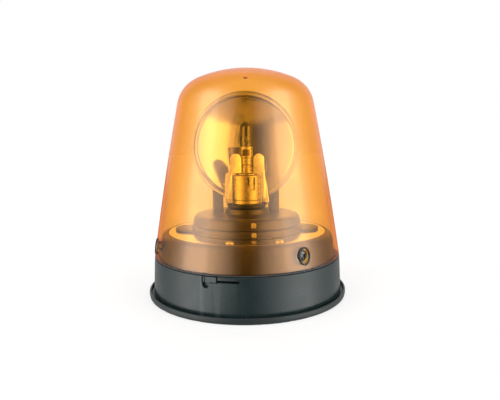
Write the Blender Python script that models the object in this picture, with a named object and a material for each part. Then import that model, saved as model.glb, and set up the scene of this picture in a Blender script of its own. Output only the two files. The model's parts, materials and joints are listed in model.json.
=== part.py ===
"""Rotating halogen beacon: amber dome, turning bulb and reflector, twist-lock base.

Sizes are in millimetres and become metres when a mesh is made. +Z is up, the front
is -Y, and an azimuth is measured from the front, counter-clockwise seen from above.
"""
import math

import bmesh
import bpy
from mathutils import Matrix

MM = 0.001
GAP = 0.3                      # space kept between pieces that touch on the real lamp
ROUND = 40                     # sides of a large turned piece
SMALL_ROUND = 14               # sides of a small turned piece

# Mounting gasket and base housing
FLANGE_RADIUS = 83.0
LIP_HEIGHT = 4.9
GASKET_FLOOR = 2.0
BASE_FOOT_RADIUS = 79.2
BASE_TOP_RADIUS = 77.9
BASE_BOTTOM = GASKET_FLOOR + GAP
BASE_TOP = 31.9
BASE_WALL = 2.6
BASE_FLOOR_TOP = BASE_BOTTOM + 3.0
CABLE_HOLE_RADIUS = 12.0
INSERT_CIRCLE_RADIUS = 65.0
INSERT_RADIUS = 5.0
INSERT_AZIMUTHS = (30.0, 150.0, 270.0)
BOSS_TOP = 11.0

# Twist lock between base and head
TWIST_RANGE = 11.0
LUG_AZIMUTHS = (60.0, 180.0, 300.0)
LUG_HALF_WIDTH = 4.5
TAB_BOTTOM = 16.0
TAB_TOP = 18.6
LUG_BOTTOM = 12.0
LUG_TOP = 15.5
COLLAR_SKIRT_RADIUS = 71.2
COLLAR_WALL_RADIUS = 74.0

# Release latch in the base wall
LATCH_AZIMUTH = -19.6
NOTCH_START = -24.0
NOTCH_END = -15.0
NOTCH_BOTTOM = 27.2
SLIT_END = -3.7
SLIT_BOTTOM = 27.5
SLIT_TOP = 29.7
RELEASE_HOLE_AZIMUTH = -21.7
RELEASE_HOLE_HEIGHT = 26.1
RELEASE_HOLE_RADIUS = 2.8
LATCH_PIVOT_RADIUS = 74.7
LATCH_PIVOT_HEIGHT = 9.5

# Collar, deck and dome
COLLAR_TOP = 52.0
DECK_RADIUS = 66.0
DECK_BOTTOM = 50.0
DECK_SCREW_CIRCLE = 63.0
DECK_SCREW_AZIMUTHS = (-11.0, 22.5, 169.0, 202.5)
DOME_BOTTOM = 33.4
DOME_FOOT_RADIUS = 77.7
DOME_SLOPE = 0.1495
DOME_CURVE = 0.0002
DOME_WALL = 2.6
DOME_SHOULDER_HEIGHT = 157.7
DOME_SHOULDER_RADIUS = 26.0
DOME_TOP = 185.0
DOME_SCREW_AZIMUTHS = (32.3, 161.1, 290.0)
DOME_SCREW_HEIGHT = 43.6

# Rotor and gear train, module in millimetres
MODULE = 0.7
RING_TEETH = 60
SMALL_TEETH = 12
WHEEL_TEETH = 40
PINION_TEETH = 10
PRESSURE_ANGLE = math.radians(22.5)
TOOTH_THINNING = 0.86
RING_DISTANCE = MODULE * (RING_TEETH + SMALL_TEETH) / 2
WHEEL_DISTANCE = MODULE * (WHEEL_TEETH + PINION_TEETH) / 2
WHEEL_AXIS = (0.0, RING_DISTANCE)
MOTOR_AXIS = (WHEEL_DISTANCE, RING_DISTANCE)
LOW_GEAR_BOTTOM = 52.9
LOW_GEAR_TOP = 56.3
HIGH_GEAR_BOTTOM = 59.2
HIGH_GEAR_TOP = 62.4
COVER_TOP = 58.0
WING_TOP = 54.0
WING_REACH = 61.0
WING_ROUNDING = 15.6
WING_ROOT = 42.0
TURNTABLE_BOTTOM = 58.4
TURNTABLE_TOP = 66.2
TURNTABLE_BOSS_TOP = 70.5
TURNTABLE_BOSS_RADIUS = 17.5
TURNTABLE_RADIUS = 44.4
SPINDLE_RADIUS = 7.0
HUB_BORE = 10.3
HUB_RADIUS = 13.0

# Reflector
ROTOR_TURN = 11.0              # where the rotor has stopped, its front against the lamp's front
REFLECTOR_HEIGHT = 122.0
FOCAL_LENGTH = 30.0
BOWL_BACK = 12.0               # the bowl's deepest point, behind the spindle's axis
BOWL_RADIUS = 41.2
RIM_RADIUS = 45.8
SHEET = 0.9
OPENING_TOP = 100.4
OPENING_HALF_WIDTH_LOW = 19.8
OPENING_HALF_WIDTH_HIGH = 17.2
POST_INNER = 20.0
POST_OUTER = 28.4
POST_FRONT = -1.5
POST_BACK = 6.5
POST_TOP = 99.0

# Bulb, socket and clips
SOCKET_BASE_TOP = 74.2
SOCKET_RADIUS = 12.5
SOCKET_TOP = 98.3
CLIP_PIVOT_X = 16.0
CLIP_PIVOT_HEIGHT = 77.4
CLIP_FRONT = -5.0
CLIP_SHEET = 0.9
BULB_RADIUS = 5.3
BULB_TIP = 142.6

FINISHES = {
    "black_abs": ((0.035, 0.045, 0.047, 1.0), 0.42, 0.0),
    "rubber": ((0.025, 0.03, 0.03, 1.0), 0.75, 0.0),
    "amber": ((0.95, 0.42, 0.03, 0.45), 0.12, 0.0),
    "grey_plastic": ((0.16, 0.15, 0.14, 1.0), 0.45, 0.0),
    "nylon": ((0.86, 0.84, 0.76, 1.0), 0.4, 0.0),
    "chrome": ((0.88, 0.88, 0.88, 1.0), 0.06, 1.0),
    "nickel": ((0.72, 0.7, 0.66, 1.0), 0.22, 1.0),
    "zinc_steel": ((0.62, 0.63, 0.64, 1.0), 0.32, 1.0),
    "brass": ((0.78, 0.6, 0.28, 1.0), 0.28, 1.0),
    "copper": ((0.72, 0.36, 0.16, 1.0), 0.35, 1.0),
    "ceramic": ((0.85, 0.82, 0.74, 1.0), 0.55, 0.0),
    "board_green": ((0.05, 0.22, 0.1, 1.0), 0.5, 0.0),
    "film_blue": ((0.08, 0.14, 0.32, 1.0), 0.45, 0.0),
    "glass": ((0.96, 0.97, 0.98, 0.3), 0.02, 0.0),
    "tungsten": ((0.32, 0.31, 0.3, 1.0), 0.5, 1.0),
}


# ---------------------------------------------------------------- objects

def clear_scene():
    for existing in list(bpy.data.objects):
        bpy.data.objects.remove(existing, do_unlink=True)


def make_material(name, finish):
    colour, roughness, metallic = FINISHES[finish]
    material = bpy.data.materials.new(name + "_finish")
    material.use_nodes = True
    shader = material.node_tree.nodes["Principled BSDF"]
    shader.inputs["Base Color"].default_value = colour
    shader.inputs["Alpha"].default_value = colour[3]
    shader.inputs["Roughness"].default_value = roughness
    shader.inputs["Metallic"].default_value = metallic
    return material


def add_empty(name, location=(0.0, 0.0, 0.0), turn=0.0, parent=None):
    """An empty on a joint's axis; location in millimetres, turn in degrees about Z."""
    empty = bpy.data.objects.new(name, None)
    bpy.context.scene.collection.objects.link(empty)
    empty.location = [value * MM for value in location]
    empty.rotation_euler = (0.0, 0.0, math.radians(turn))
    empty.parent = parent
    return empty


def add_object(name, shape, finish, parent=None, turn=0.0, location=(0.0, 0.0, 0.0), smooth=True):
    """Turn a bmesh in millimetres into an object in metres with its own material."""
    bmesh.ops.scale(shape, vec=(MM, MM, MM), verts=shape.verts)
    bmesh.ops.recalc_face_normals(shape, faces=shape.faces)
    mesh = bpy.data.meshes.new(name)
    shape.to_mesh(mesh)
    shape.free()
    part = bpy.data.objects.new(name, mesh)
    bpy.context.scene.collection.objects.link(part)
    part.location = [value * MM for value in location]
    part.rotation_euler = (0.0, 0.0, math.radians(turn))
    part.parent = parent
    mesh.materials.append(make_material(name, finish))
    if smooth:
        for face in mesh.polygons:
            face.use_smooth = True
    return part


def add_tool(name, shape, parent=None, turn=0.0, location=(0.0, 0.0, 0.0)):
    """A helper shape for a Boolean, hidden from the finished part."""
    tool = add_object(name, shape, "nylon", parent, turn, location)
    tool.hide_render = True
    tool.display_type = 'WIRE'
    return tool


def combine(part, tool, operation):
    modifier = part.modifiers.new(tool.name, 'BOOLEAN')
    modifier.operation = operation
    modifier.solver = 'EXACT'
    modifier.object = tool


# ---------------------------------------------------------------- shapes

def arc(centre_r, centre_z, radius, start, end, steps):
    """Points of an arc in the radius-height plane, angles in degrees from outward."""
    points = []
    for step in range(steps + 1):
        angle = math.radians(start + (end - start) * step / steps)
        points.append((centre_r + radius * math.cos(angle), centre_z + radius * math.sin(angle)))
    return points


def turned(outline, sides=ROUND):
    """Turn a closed (radius, height) outline about Z."""
    shape = bmesh.new()
    verts = [shape.verts.new((radius, 0.0, height)) for radius, height in outline]
    on_axis = [abs(radius) < 1e-9 for radius, height in outline]
    edges = []
    for index, vert in enumerate(verts):
        following = (index + 1) % len(verts)
        if not (on_axis[index] and on_axis[following]):
            edges.append(shape.edges.new((vert, verts[following])))
    bmesh.ops.spin(shape, geom=verts + edges, cent=(0, 0, 0), axis=(0, 0, 1),
                   angle=math.tau, steps=sides, use_merge=True)
    bmesh.ops.remove_doubles(shape, verts=shape.verts, dist=1e-5)
    return shape


def prism(outline, bottom, top):
    """Raise a closed (x, y) outline from bottom to top."""
    shape = bmesh.new()
    base = shape.faces.new([shape.verts.new((x, y, bottom)) for x, y in outline])
    raised = bmesh.ops.extrude_face_region(shape, geom=[base])
    new_verts = [item for item in raised["geom"] if isinstance(item, bmesh.types.BMVert)]
    bmesh.ops.translate(shape, vec=(0, 0, top - bottom), verts=new_verts)
    return shape


def side_prism(outline, front, back):
    """Raise a closed (x, z) outline along Y, from front to back."""
    shape = prism([(x, -z) for x, z in outline], front, back)
    bmesh.ops.rotate(shape, cent=(0, 0, 0), matrix=Matrix.Rotation(math.radians(-90), 3, 'X'),
                     verts=shape.verts)
    return shape


def block(low, high):
    outline = [(low[0], low[1]), (high[0], low[1]), (high[0], high[1]), (low[0], high[1])]
    return prism(outline, low[2], high[2])


def cylinder(radius, bottom, top, centre=(0.0, 0.0), sides=SMALL_ROUND):
    outline = []
    for side in range(sides):
        angle = math.tau * side / sides
        outline.append((centre[0] + radius * math.cos(angle), centre[1] + radius * math.sin(angle)))
    return prism(outline, bottom, top)


def radial_cylinder(radius, inner, outer, height, sides=SMALL_ROUND):
    """A cylinder that lies along -Y, from an inner to an outer distance."""
    outline = []
    for side in range(sides):
        angle = math.tau * side / sides
        outline.append((radius * math.cos(angle), height + radius * math.sin(angle)))
    return side_prism(outline, -outer, -inner)


def sector(inner, outer, start, end, bottom, top, steps=4):
    """A piece of a ring between two azimuths in degrees."""
    outline = []
    for radius, first, last in ((inner, start, end), (outer, end, start)):
        for step in range(steps + 1):
            azimuth = math.radians(first + (last - first) * step / steps)
            outline.append((radius * math.sin(azimuth), -radius * math.cos(azimuth)))
    return prism(outline, bottom, top)


def joined(shapes):
    """One bmesh that holds several shapes, for a Boolean tool with separate bodies."""
    result = bmesh.new()
    for shape in shapes:
        mesh = bpy.data.meshes.new("joining")
        shape.to_mesh(mesh)
        shape.free()
        result.from_mesh(mesh)
        bpy.data.meshes.remove(mesh)
    return result


def moved(shape, azimuth):
    """Turn a shape about Z to an azimuth in degrees."""
    bmesh.ops.rotate(shape, cent=(0, 0, 0), verts=shape.verts,
                     matrix=Matrix.Rotation(math.radians(azimuth), 3, 'Z'))
    return shape


def on_circle(radius, azimuth):
    angle = math.radians(azimuth)
    return (radius * math.sin(angle), -radius * math.cos(angle))


def gear_outline(teeth, first_tooth):
    """Involute gear outline; first_tooth is the direction of a tooth, in radians from +X."""
    pitch_radius = MODULE * teeth / 2
    base_radius = pitch_radius * math.cos(PRESSURE_ANGLE)
    tip_radius = pitch_radius + 0.85 * MODULE
    root_radius = pitch_radius - 1.15 * MODULE
    pitch_involute = math.tan(PRESSURE_ANGLE) - PRESSURE_ANGLE

    def half_angle(radius):
        roll = math.acos(min(1.0, base_radius / radius))
        return TOOTH_THINNING * math.pi / (2 * teeth) + pitch_involute - (math.tan(roll) - roll)

    levels = [root_radius, pitch_radius - 0.1 * MODULE, tip_radius]
    outline = []
    for tooth in range(teeth):
        middle = first_tooth + math.tau * tooth / teeth
        rising = [(level, middle - half_angle(max(level, base_radius))) for level in levels]
        falling = [(level, middle + half_angle(max(level, base_radius))) for level in reversed(levels)]
        for radius, angle in rising + falling:
            outline.append((radius * math.cos(angle), radius * math.sin(angle)))
    return outline


# ---------------------------------------------------------------- base

def base_radius(height):
    share = (height - BASE_BOTTOM) / (BASE_TOP - BASE_BOTTOM)
    return BASE_FOOT_RADIUS + (BASE_TOP_RADIUS - BASE_FOOT_RADIUS) * share


def make_gasket(base):
    outline = [(60.0, 0.0), (FLANGE_RADIUS, 0.0), (FLANGE_RADIUS, LIP_HEIGHT - 0.4),
               (FLANGE_RADIUS - 0.4, LIP_HEIGHT), (FLANGE_RADIUS - 1.3, LIP_HEIGHT),
               (FLANGE_RADIUS - 1.6, LIP_HEIGHT - 0.3), (FLANGE_RADIUS - 1.6, GASKET_FLOOR),
               (60.0, GASKET_FLOOR)]
    gasket = add_object("mounting_gasket", turned(outline), "rubber", base)
    holes = [cylinder(INSERT_RADIUS, -1.0, GASKET_FLOOR + 1.0, on_circle(INSERT_CIRCLE_RADIUS, azimuth))
             for azimuth in INSERT_AZIMUTHS]
    combine(gasket, add_tool("gasket_holes", joined(holes), base), 'DIFFERENCE')


def make_base_housing(base):
    inner_top = BASE_TOP_RADIUS - BASE_WALL
    inner_bottom = base_radius(BASE_FLOOR_TOP) - BASE_WALL
    outline = [(CABLE_HOLE_RADIUS, BASE_BOTTOM), (BASE_FOOT_RADIUS, BASE_BOTTOM),
               (BASE_TOP_RADIUS, BASE_TOP), (inner_top, BASE_TOP),
               (inner_bottom, BASE_FLOOR_TOP), (CABLE_HOLE_RADIUS, BASE_FLOOR_TOP)]
    housing = add_object("base_housing", turned(outline), "black_abs", base)
    additions = [cylinder(INSERT_RADIUS + 3.0, BASE_FLOOR_TOP - 1.5, BOSS_TOP,
                          on_circle(INSERT_CIRCLE_RADIUS, azimuth)) for azimuth in INSERT_AZIMUTHS]
    for azimuth in LUG_AZIMUTHS:
        additions.append(sector(73.6, 77.2, azimuth - LUG_HALF_WIDTH, azimuth + LUG_HALF_WIDTH,
                                TAB_BOTTOM, TAB_TOP))
    combine(housing, add_tool("housing_bosses_and_tabs", joined(additions), base), 'UNION')
    cuts = [cylinder(INSERT_RADIUS + GAP, 0.0, BOSS_TOP + 1.0, on_circle(INSERT_CIRCLE_RADIUS, azimuth))
            for azimuth in INSERT_AZIMUTHS]
    combine(housing, add_tool("housing_insert_holes", joined(cuts), base), 'DIFFERENCE')
    notch = sector(72.0, 84.0, NOTCH_START, NOTCH_END, NOTCH_BOTTOM, BASE_TOP + 3.0)
    combine(housing, add_tool("latch_notch", notch, base), 'DIFFERENCE')
    slit = sector(72.0, 84.0, NOTCH_END - 1.0, SLIT_END, SLIT_BOTTOM, SLIT_TOP)
    combine(housing, add_tool("latch_slit", slit, base), 'DIFFERENCE')
    hole = radial_cylinder(RELEASE_HOLE_RADIUS, 72.0, 84.0, RELEASE_HOLE_HEIGHT)
    combine(housing, add_tool("release_hole", hole, base, turn=RELEASE_HOLE_AZIMUTH), 'DIFFERENCE')


def make_inserts(base):
    outline = [(3.2, BASE_BOTTOM + GAP), (INSERT_RADIUS, BASE_BOTTOM + GAP),
               (INSERT_RADIUS, BOSS_TOP - GAP), (3.2, BOSS_TOP - GAP)]
    for number, azimuth in enumerate(INSERT_AZIMUTHS, start=1):
        x, y = on_circle(INSERT_CIRCLE_RADIUS, azimuth)
        add_object("mounting_insert_%d" % number, turned(outline, SMALL_ROUND), "brass", base,
                   location=(x, y, 0.0))


def make_cable_grommet(base):
    barrel = CABLE_HOLE_RADIUS - GAP
    flange_bottom = BASE_FLOOR_TOP + GAP
    outline = [(4.0, BASE_BOTTOM + GAP), (barrel, BASE_BOTTOM + GAP), (barrel, flange_bottom),
               (15.0, flange_bottom), (15.0, flange_bottom + 1.8), (8.0, flange_bottom + 4.0),
               (4.0, flange_bottom + 4.0)]
    add_object("cable_grommet", turned(outline, 24), "rubber", base)


def make_terminal_block(base):
    bottom = BASE_FLOOR_TOP + GAP
    body = add_object("terminal_block", block((-50.0, -16.0, bottom), (-36.0, 16.0, bottom + 10.0)),
                      "ceramic", base, smooth=False)
    wells = [cylinder(2.6, bottom + 3.0, bottom + 12.0, (-43.0, y)) for y in (-8.0, 8.0)]
    entries = [radial_cylinder(1.8, 30.0, 60.0, bottom + 4.0, 10) for y in (-8.0, 8.0)]
    for entry, y in zip(entries, (-8.0, 8.0)):
        moved(entry, -90.0)
        bmesh.ops.translate(entry, vec=(0, y, 0), verts=entry.verts)
    combine(body, add_tool("terminal_wells", joined(wells), base), 'DIFFERENCE')
    combine(body, add_tool("terminal_entries", joined(entries), base), 'DIFFERENCE')


def make_latch(latch):
    """A sprung tongue that hangs on a flexing leaf; its empty is at the leaf's foot."""
    shoulder = 27.7 - LATCH_PIVOT_HEIGHT
    top = 31.5 - LATCH_PIVOT_HEIGHT
    inner = 74.2 - LATCH_PIVOT_RADIUS
    leaf = 75.2 - LATCH_PIVOT_RADIUS
    face = 77.6 - LATCH_PIVOT_RADIUS
    side = [(inner, 0.0), (leaf, 0.0), (leaf, shoulder), (face, shoulder), (face, top), (inner, top)]
    shape = side_prism(side, -4.9, 5.0)
    moved(shape, -90.0)
    bmesh.ops.scale(shape, vec=(-1, 1, 1), verts=shape.verts)
    tongue = add_object("latch_tongue", shape, "black_abs", latch, smooth=False)
    groove = block((-4.0, -face - 2.0, shoulder - 1.0), (-3.3, -leaf - 1.0, top + 1.0))
    combine(tongue, add_tool("latch_groove", groove, latch), 'DIFFERENCE')


# ---------------------------------------------------------------- head

def dome_radius(height):
    rise = height - DOME_BOTTOM
    return DOME_FOOT_RADIUS - DOME_SLOPE * rise - DOME_CURVE * rise * rise


def dome_profile(inset):
    """Outline of the dome from its foot to the top, moved inwards by inset."""
    slope = DOME_SLOPE + 2 * DOME_CURVE * (DOME_SHOULDER_HEIGHT - DOME_BOTTOM)
    lean = math.degrees(math.atan(slope))
    shoulder_r = dome_radius(DOME_SHOULDER_HEIGHT) - DOME_SHOULDER_RADIUS * math.cos(math.radians(lean))
    shoulder_z = DOME_SHOULDER_HEIGHT - DOME_SHOULDER_RADIUS * math.sin(math.radians(lean))
    rise = DOME_TOP - shoulder_z
    cap_radius = ((shoulder_r ** 2 + rise ** 2 - DOME_SHOULDER_RADIUS ** 2)
                  / (2 * (rise - DOME_SHOULDER_RADIUS)))
    cap_z = DOME_TOP - cap_radius
    meeting = math.degrees(math.atan2(shoulder_z - cap_z, shoulder_r))
    points = []
    for step in range(4):
        height = DOME_BOTTOM + (DOME_SHOULDER_HEIGHT - DOME_BOTTOM) * step / 4
        points.append((dome_radius(height) - inset, height))
    points += arc(shoulder_r, shoulder_z, DOME_SHOULDER_RADIUS - inset, lean, meeting, 5)
    points += arc(0.0, cap_z, cap_radius - inset, meeting, 90.0, 3)[1:-1]
    points.append((0.0, DOME_TOP - inset))
    return points


def make_dome(head):
    outline = dome_profile(0.0) + list(reversed(dome_profile(DOME_WALL)))
    dome = add_object("dome_lens", turned(outline), "amber", head)
    holes = [moved(radial_cylinder(4.3, 60.0, 90.0, DOME_SCREW_HEIGHT), azimuth)
             for azimuth in DOME_SCREW_AZIMUTHS]
    combine(dome, add_tool("dome_screw_holes", joined(holes), head), 'DIFFERENCE')
    seal = [(COLLAR_WALL_RADIUS + GAP, BASE_TOP + GAP), (77.2, BASE_TOP + GAP),
            (77.2, DOME_BOTTOM - GAP), (COLLAR_WALL_RADIUS + GAP, DOME_BOTTOM - GAP)]
    add_object("dome_seal", turned(seal), "rubber", head)


def make_dome_screws(head):
    """Screws that hold the dome's skirt to the collar, pointing inwards."""
    head_outer = dome_radius(DOME_SCREW_HEIGHT) - 0.4
    outline = [(0.0, -head_outer), (2.6, -head_outer), (3.9, -head_outer + 1.2),
               (3.9, -72.6), (1.4, -72.6), (1.4, -63.0), (0.0, -63.0)]
    for number, azimuth in enumerate(DOME_SCREW_AZIMUTHS, start=1):
        shape = turned(outline, SMALL_ROUND)
        bmesh.ops.rotate(shape, cent=(0, 0, 0), matrix=Matrix.Rotation(math.radians(-90), 3, 'X'),
                         verts=shape.verts)
        bmesh.ops.translate(shape, vec=(0, 0, DOME_SCREW_HEIGHT), verts=shape.verts)
        screw = add_object("dome_screw_%d" % number, shape, "zinc_steel", head, turn=azimuth)
        slot = block((-0.5, -head_outer - 1.0, DOME_SCREW_HEIGHT - 2.0),
                     (0.5, -head_outer + 1.2, DOME_SCREW_HEIGHT + 2.0))
        combine(screw, add_tool("dome_screw_slot_%d" % number, slot, head, turn=azimuth), 'DIFFERENCE')


def make_collar(head):
    recess = DECK_RADIUS + GAP
    under_deck = DECK_BOTTOM - GAP
    skirt = [(COLLAR_SKIRT_RADIUS, LUG_BOTTOM), (COLLAR_SKIRT_RADIUS, 29.4), (75.0, 29.4),
             (75.0, BASE_TOP)]
    wall = [(COLLAR_WALL_RADIUS, BASE_TOP), (73.8, 33.4), (72.1, 46.4), (71.2, 49.2), (69.6, 51.3),
            (67.6, COLLAR_TOP), (recess, COLLAR_TOP), (recess, under_deck)]
    inside = [(60.0, under_deck), (60.0, 47.5), (68.6, 38.0), (69.0, LUG_BOTTOM)]
    collar = add_object("collar", turned(skirt + wall + inside), "grey_plastic", head)
    lugs = [sector(70.0, 75.7, azimuth - LUG_HALF_WIDTH, azimuth + LUG_HALF_WIDTH, LUG_BOTTOM, LUG_TOP)
            for azimuth in LUG_AZIMUTHS]
    combine(collar, add_tool("collar_lugs", joined(lugs), head), 'UNION')
    cuts = [moved(radial_cylinder(1.7, 60.0, 80.0, DOME_SCREW_HEIGHT), azimuth)
            for azimuth in DOME_SCREW_AZIMUTHS]
    seats = [moved(radial_cylinder(4.3, 72.2, 80.0, DOME_SCREW_HEIGHT), azimuth)
             for azimuth in DOME_SCREW_AZIMUTHS]
    combine(collar, add_tool("collar_screw_seats", joined(seats), head), 'DIFFERENCE')
    cuts += [cylinder(1.8, 45.0, DECK_BOTTOM + 0.5, on_circle(DECK_SCREW_CIRCLE, azimuth))
             for azimuth in DECK_SCREW_AZIMUTHS]
    cuts.append(sector(71.35, 78.0, NOTCH_START - TWIST_RANGE - 2.0, NOTCH_END + 2.0, 28.0,
                       BASE_TOP + 0.15, 8))
    combine(collar, add_tool("collar_cuts", joined(cuts), head), 'DIFFERENCE')


def make_deck(head):
    deck = add_object("deck_plate", cylinder(DECK_RADIUS, DECK_BOTTOM, COLLAR_TOP, sides=ROUND),
                      "zinc_steel", head, smooth=False)
    top = COLLAR_TOP + 1.0
    bottom = DECK_BOTTOM - 1.0
    cuts = [cylinder(1.8, bottom, top, on_circle(DECK_SCREW_CIRCLE, azimuth))
            for azimuth in DECK_SCREW_AZIMUTHS]
    cuts.append(cylinder(10.3, bottom, top))
    cuts.append(cylinder(1.8, bottom, top, WHEEL_AXIS))
    cuts.append(cylinder(5.3, bottom, top, MOTOR_AXIS))
    cuts += [cylinder(1.6, bottom, top, centre) for centre in motor_screw_places()]
    combine(deck, add_tool("deck_holes", joined(cuts), head), 'DIFFERENCE')
    screw = [(0.0, 45.5), (1.5, 45.5), (1.5, COLLAR_TOP + GAP), (3.0, COLLAR_TOP + GAP),
             (3.0, COLLAR_TOP + 1.5), (2.0, COLLAR_TOP + 2.4), (0.0, COLLAR_TOP + 2.4)]
    for number, azimuth in enumerate(DECK_SCREW_AZIMUTHS, start=1):
        x, y = on_circle(DECK_SCREW_CIRCLE, azimuth)
        add_object("deck_screw_%d" % number, turned(screw, 12), "zinc_steel", head, location=(x, y, 0.0))


def make_spindle(head):
    post = [(4.5, 44.0), (14.0, 44.0), (14.0, DECK_BOTTOM - GAP), (10.0, DECK_BOTTOM - GAP),
            (10.0, COVER_TOP), (SPINDLE_RADIUS, COVER_TOP), (SPINDLE_RADIUS, TURNTABLE_BOSS_TOP - 0.2),
            (4.5, TURNTABLE_BOSS_TOP - 0.2)]
    add_object("centre_post", turned(post, 24), "zinc_steel", head)
    bore = SPINDLE_RADIUS + GAP
    washer = [(bore, COVER_TOP + GAP), (12.0, COVER_TOP + GAP), (12.0, 59.1), (bore, 59.1)]
    add_object("thrust_washer", turned(washer, 24), "brass", head)
    ring = [(bore, 68.9), (9.9, 68.9), (9.9, 70.2), (bore, 70.2)]
    add_object("retaining_ring", turned(ring, 24), "zinc_steel", head)
    holder = [(2.2, 60.0), (4.2, 60.0), (4.2, TURNTABLE_BOSS_TOP - 0.2), (2.2, TURNTABLE_BOSS_TOP - 0.2)]
    add_object("brush_holder", turned(holder, 16), "ceramic", head)
    add_object("contact_brush", cylinder(1.9, 61.0, TURNTABLE_BOSS_TOP), "copper", head)


def make_gear_cover(head):
    outline = [(45.0, COLLAR_TOP + GAP), (47.0, COLLAR_TOP + GAP), (46.4, COVER_TOP - 1.0),
               (45.4, COVER_TOP), (31.0, COVER_TOP), (31.0, COVER_TOP - 1.2), (44.3, COVER_TOP - 1.2)]
    cover = add_object("gear_cover", turned(outline), "grey_plastic", head)
    wings = []
    for side in (-1.0, 1.0):
        centre = side * (WING_REACH - WING_ROUNDING)
        tip = [(centre + side * WING_ROUNDING * math.cos(math.radians(turn)),
                WING_ROUNDING * math.sin(math.radians(turn))) for turn in range(-90, 91, 15)]
        inner = WING_ROOT * side
        wings.append(prism([(inner, -WING_ROUNDING)] + tip + [(inner, WING_ROUNDING)],
                           COLLAR_TOP + GAP, WING_TOP))
    combine(cover, add_tool("gear_cover_wings", joined(wings), head), 'UNION')
    inside = cylinder(44.4, DECK_BOTTOM, COVER_TOP - 1.2)
    combine(cover, add_tool("gear_cover_inside", inside, head), 'DIFFERENCE')


def make_gear_axle(head):
    axle_top = HIGH_GEAR_TOP + 0.7
    outline = [(0.0, 46.0), (3.0, 46.0), (3.0, DECK_BOTTOM - GAP), (1.5, DECK_BOTTOM - GAP),
               (1.5, axle_top), (0.0, axle_top)]
    add_object("gear_axle", turned(outline, 16), "zinc_steel", head,
               location=(WHEEL_AXIS[0], WHEEL_AXIS[1], 0.0))


def motor_screw_places():
    return [(MOTOR_AXIS[0], MOTOR_AXIS[1] + offset) for offset in (-8.5, 8.5)]


def make_motor(head):
    can = [(0.0, 17.0), (13.4, 17.0), (14.0, 18.0), (14.0, 49.0), (13.5, DECK_BOTTOM - GAP),
           (5.0, DECK_BOTTOM - GAP), (5.0, 51.6), (1.5, 51.6), (1.5, 43.0), (0.0, 43.0)]
    place = (MOTOR_AXIS[0], MOTOR_AXIS[1], 0.0)
    motor = add_object("motor_can", turned(can, 24), "zinc_steel", head, location=place)
    holes = [cylinder(1.6, 46.0, 52.0, centre, 12) for centre in motor_screw_places()]
    combine(motor, add_tool("motor_screw_holes", joined(holes), head), 'DIFFERENCE')
    cap = [(0.0, 12.0), (9.0, 12.0), (9.0, 14.5), (13.2, 14.5), (13.2, 16.7), (0.0, 16.7)]
    add_object("motor_end_cap", turned(cap, 20), "black_abs", head, location=place)
    screw = [(0.0, 46.5), (1.3, 46.5), (1.3, COLLAR_TOP + GAP), (2.6, COLLAR_TOP + GAP),
             (2.6, 53.2), (1.8, 53.9), (0.0, 53.9)]
    for number, (x, y) in enumerate(motor_screw_places(), start=1):
        add_object("motor_screw_%d" % number, turned(screw, 12), "zinc_steel", head, location=(x, y, 0.0))


def make_circuit(head):
    board = add_object("circuit_board", block((-24.0, -54.0, 40.0), (24.0, -28.0, 41.6)),
                       "board_green", head, smooth=False)
    places = [(-20.0, -32.0), (20.0, -32.0)]
    holes = [cylinder(1.5, 39.0, 43.0, centre, 12) for centre in places]
    combine(board, add_tool("board_holes", joined(holes), head), 'DIFFERENCE')
    stand = [(0.0, 38.6), (2.6, 38.6), (2.6, 39.7), (1.2, 39.7), (1.2, 41.9), (3.2, 41.9),
             (3.2, DECK_BOTTOM - GAP), (0.0, DECK_BOTTOM - GAP)]
    for number, (x, y) in enumerate(places, start=1):
        add_object("board_standoff_%d" % number, turned(stand, 12), "nylon", head, location=(x, y, 0.0))
    coil = radial_cylinder(4.4, -8.0, 8.0, 34.8, 16)
    moved(coil, 90.0)
    bmesh.ops.translate(coil, vec=(-11.0, -42.0, 0), verts=coil.verts)
    add_object("suppressor_choke", coil, "copper", head)
    add_object("suppressor_capacitor", block((5.0, -49.0, 30.0), (19.0, -38.0, 39.7)), "film_blue",
               head, smooth=False)


# ---------------------------------------------------------------- socket and bulb

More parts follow.
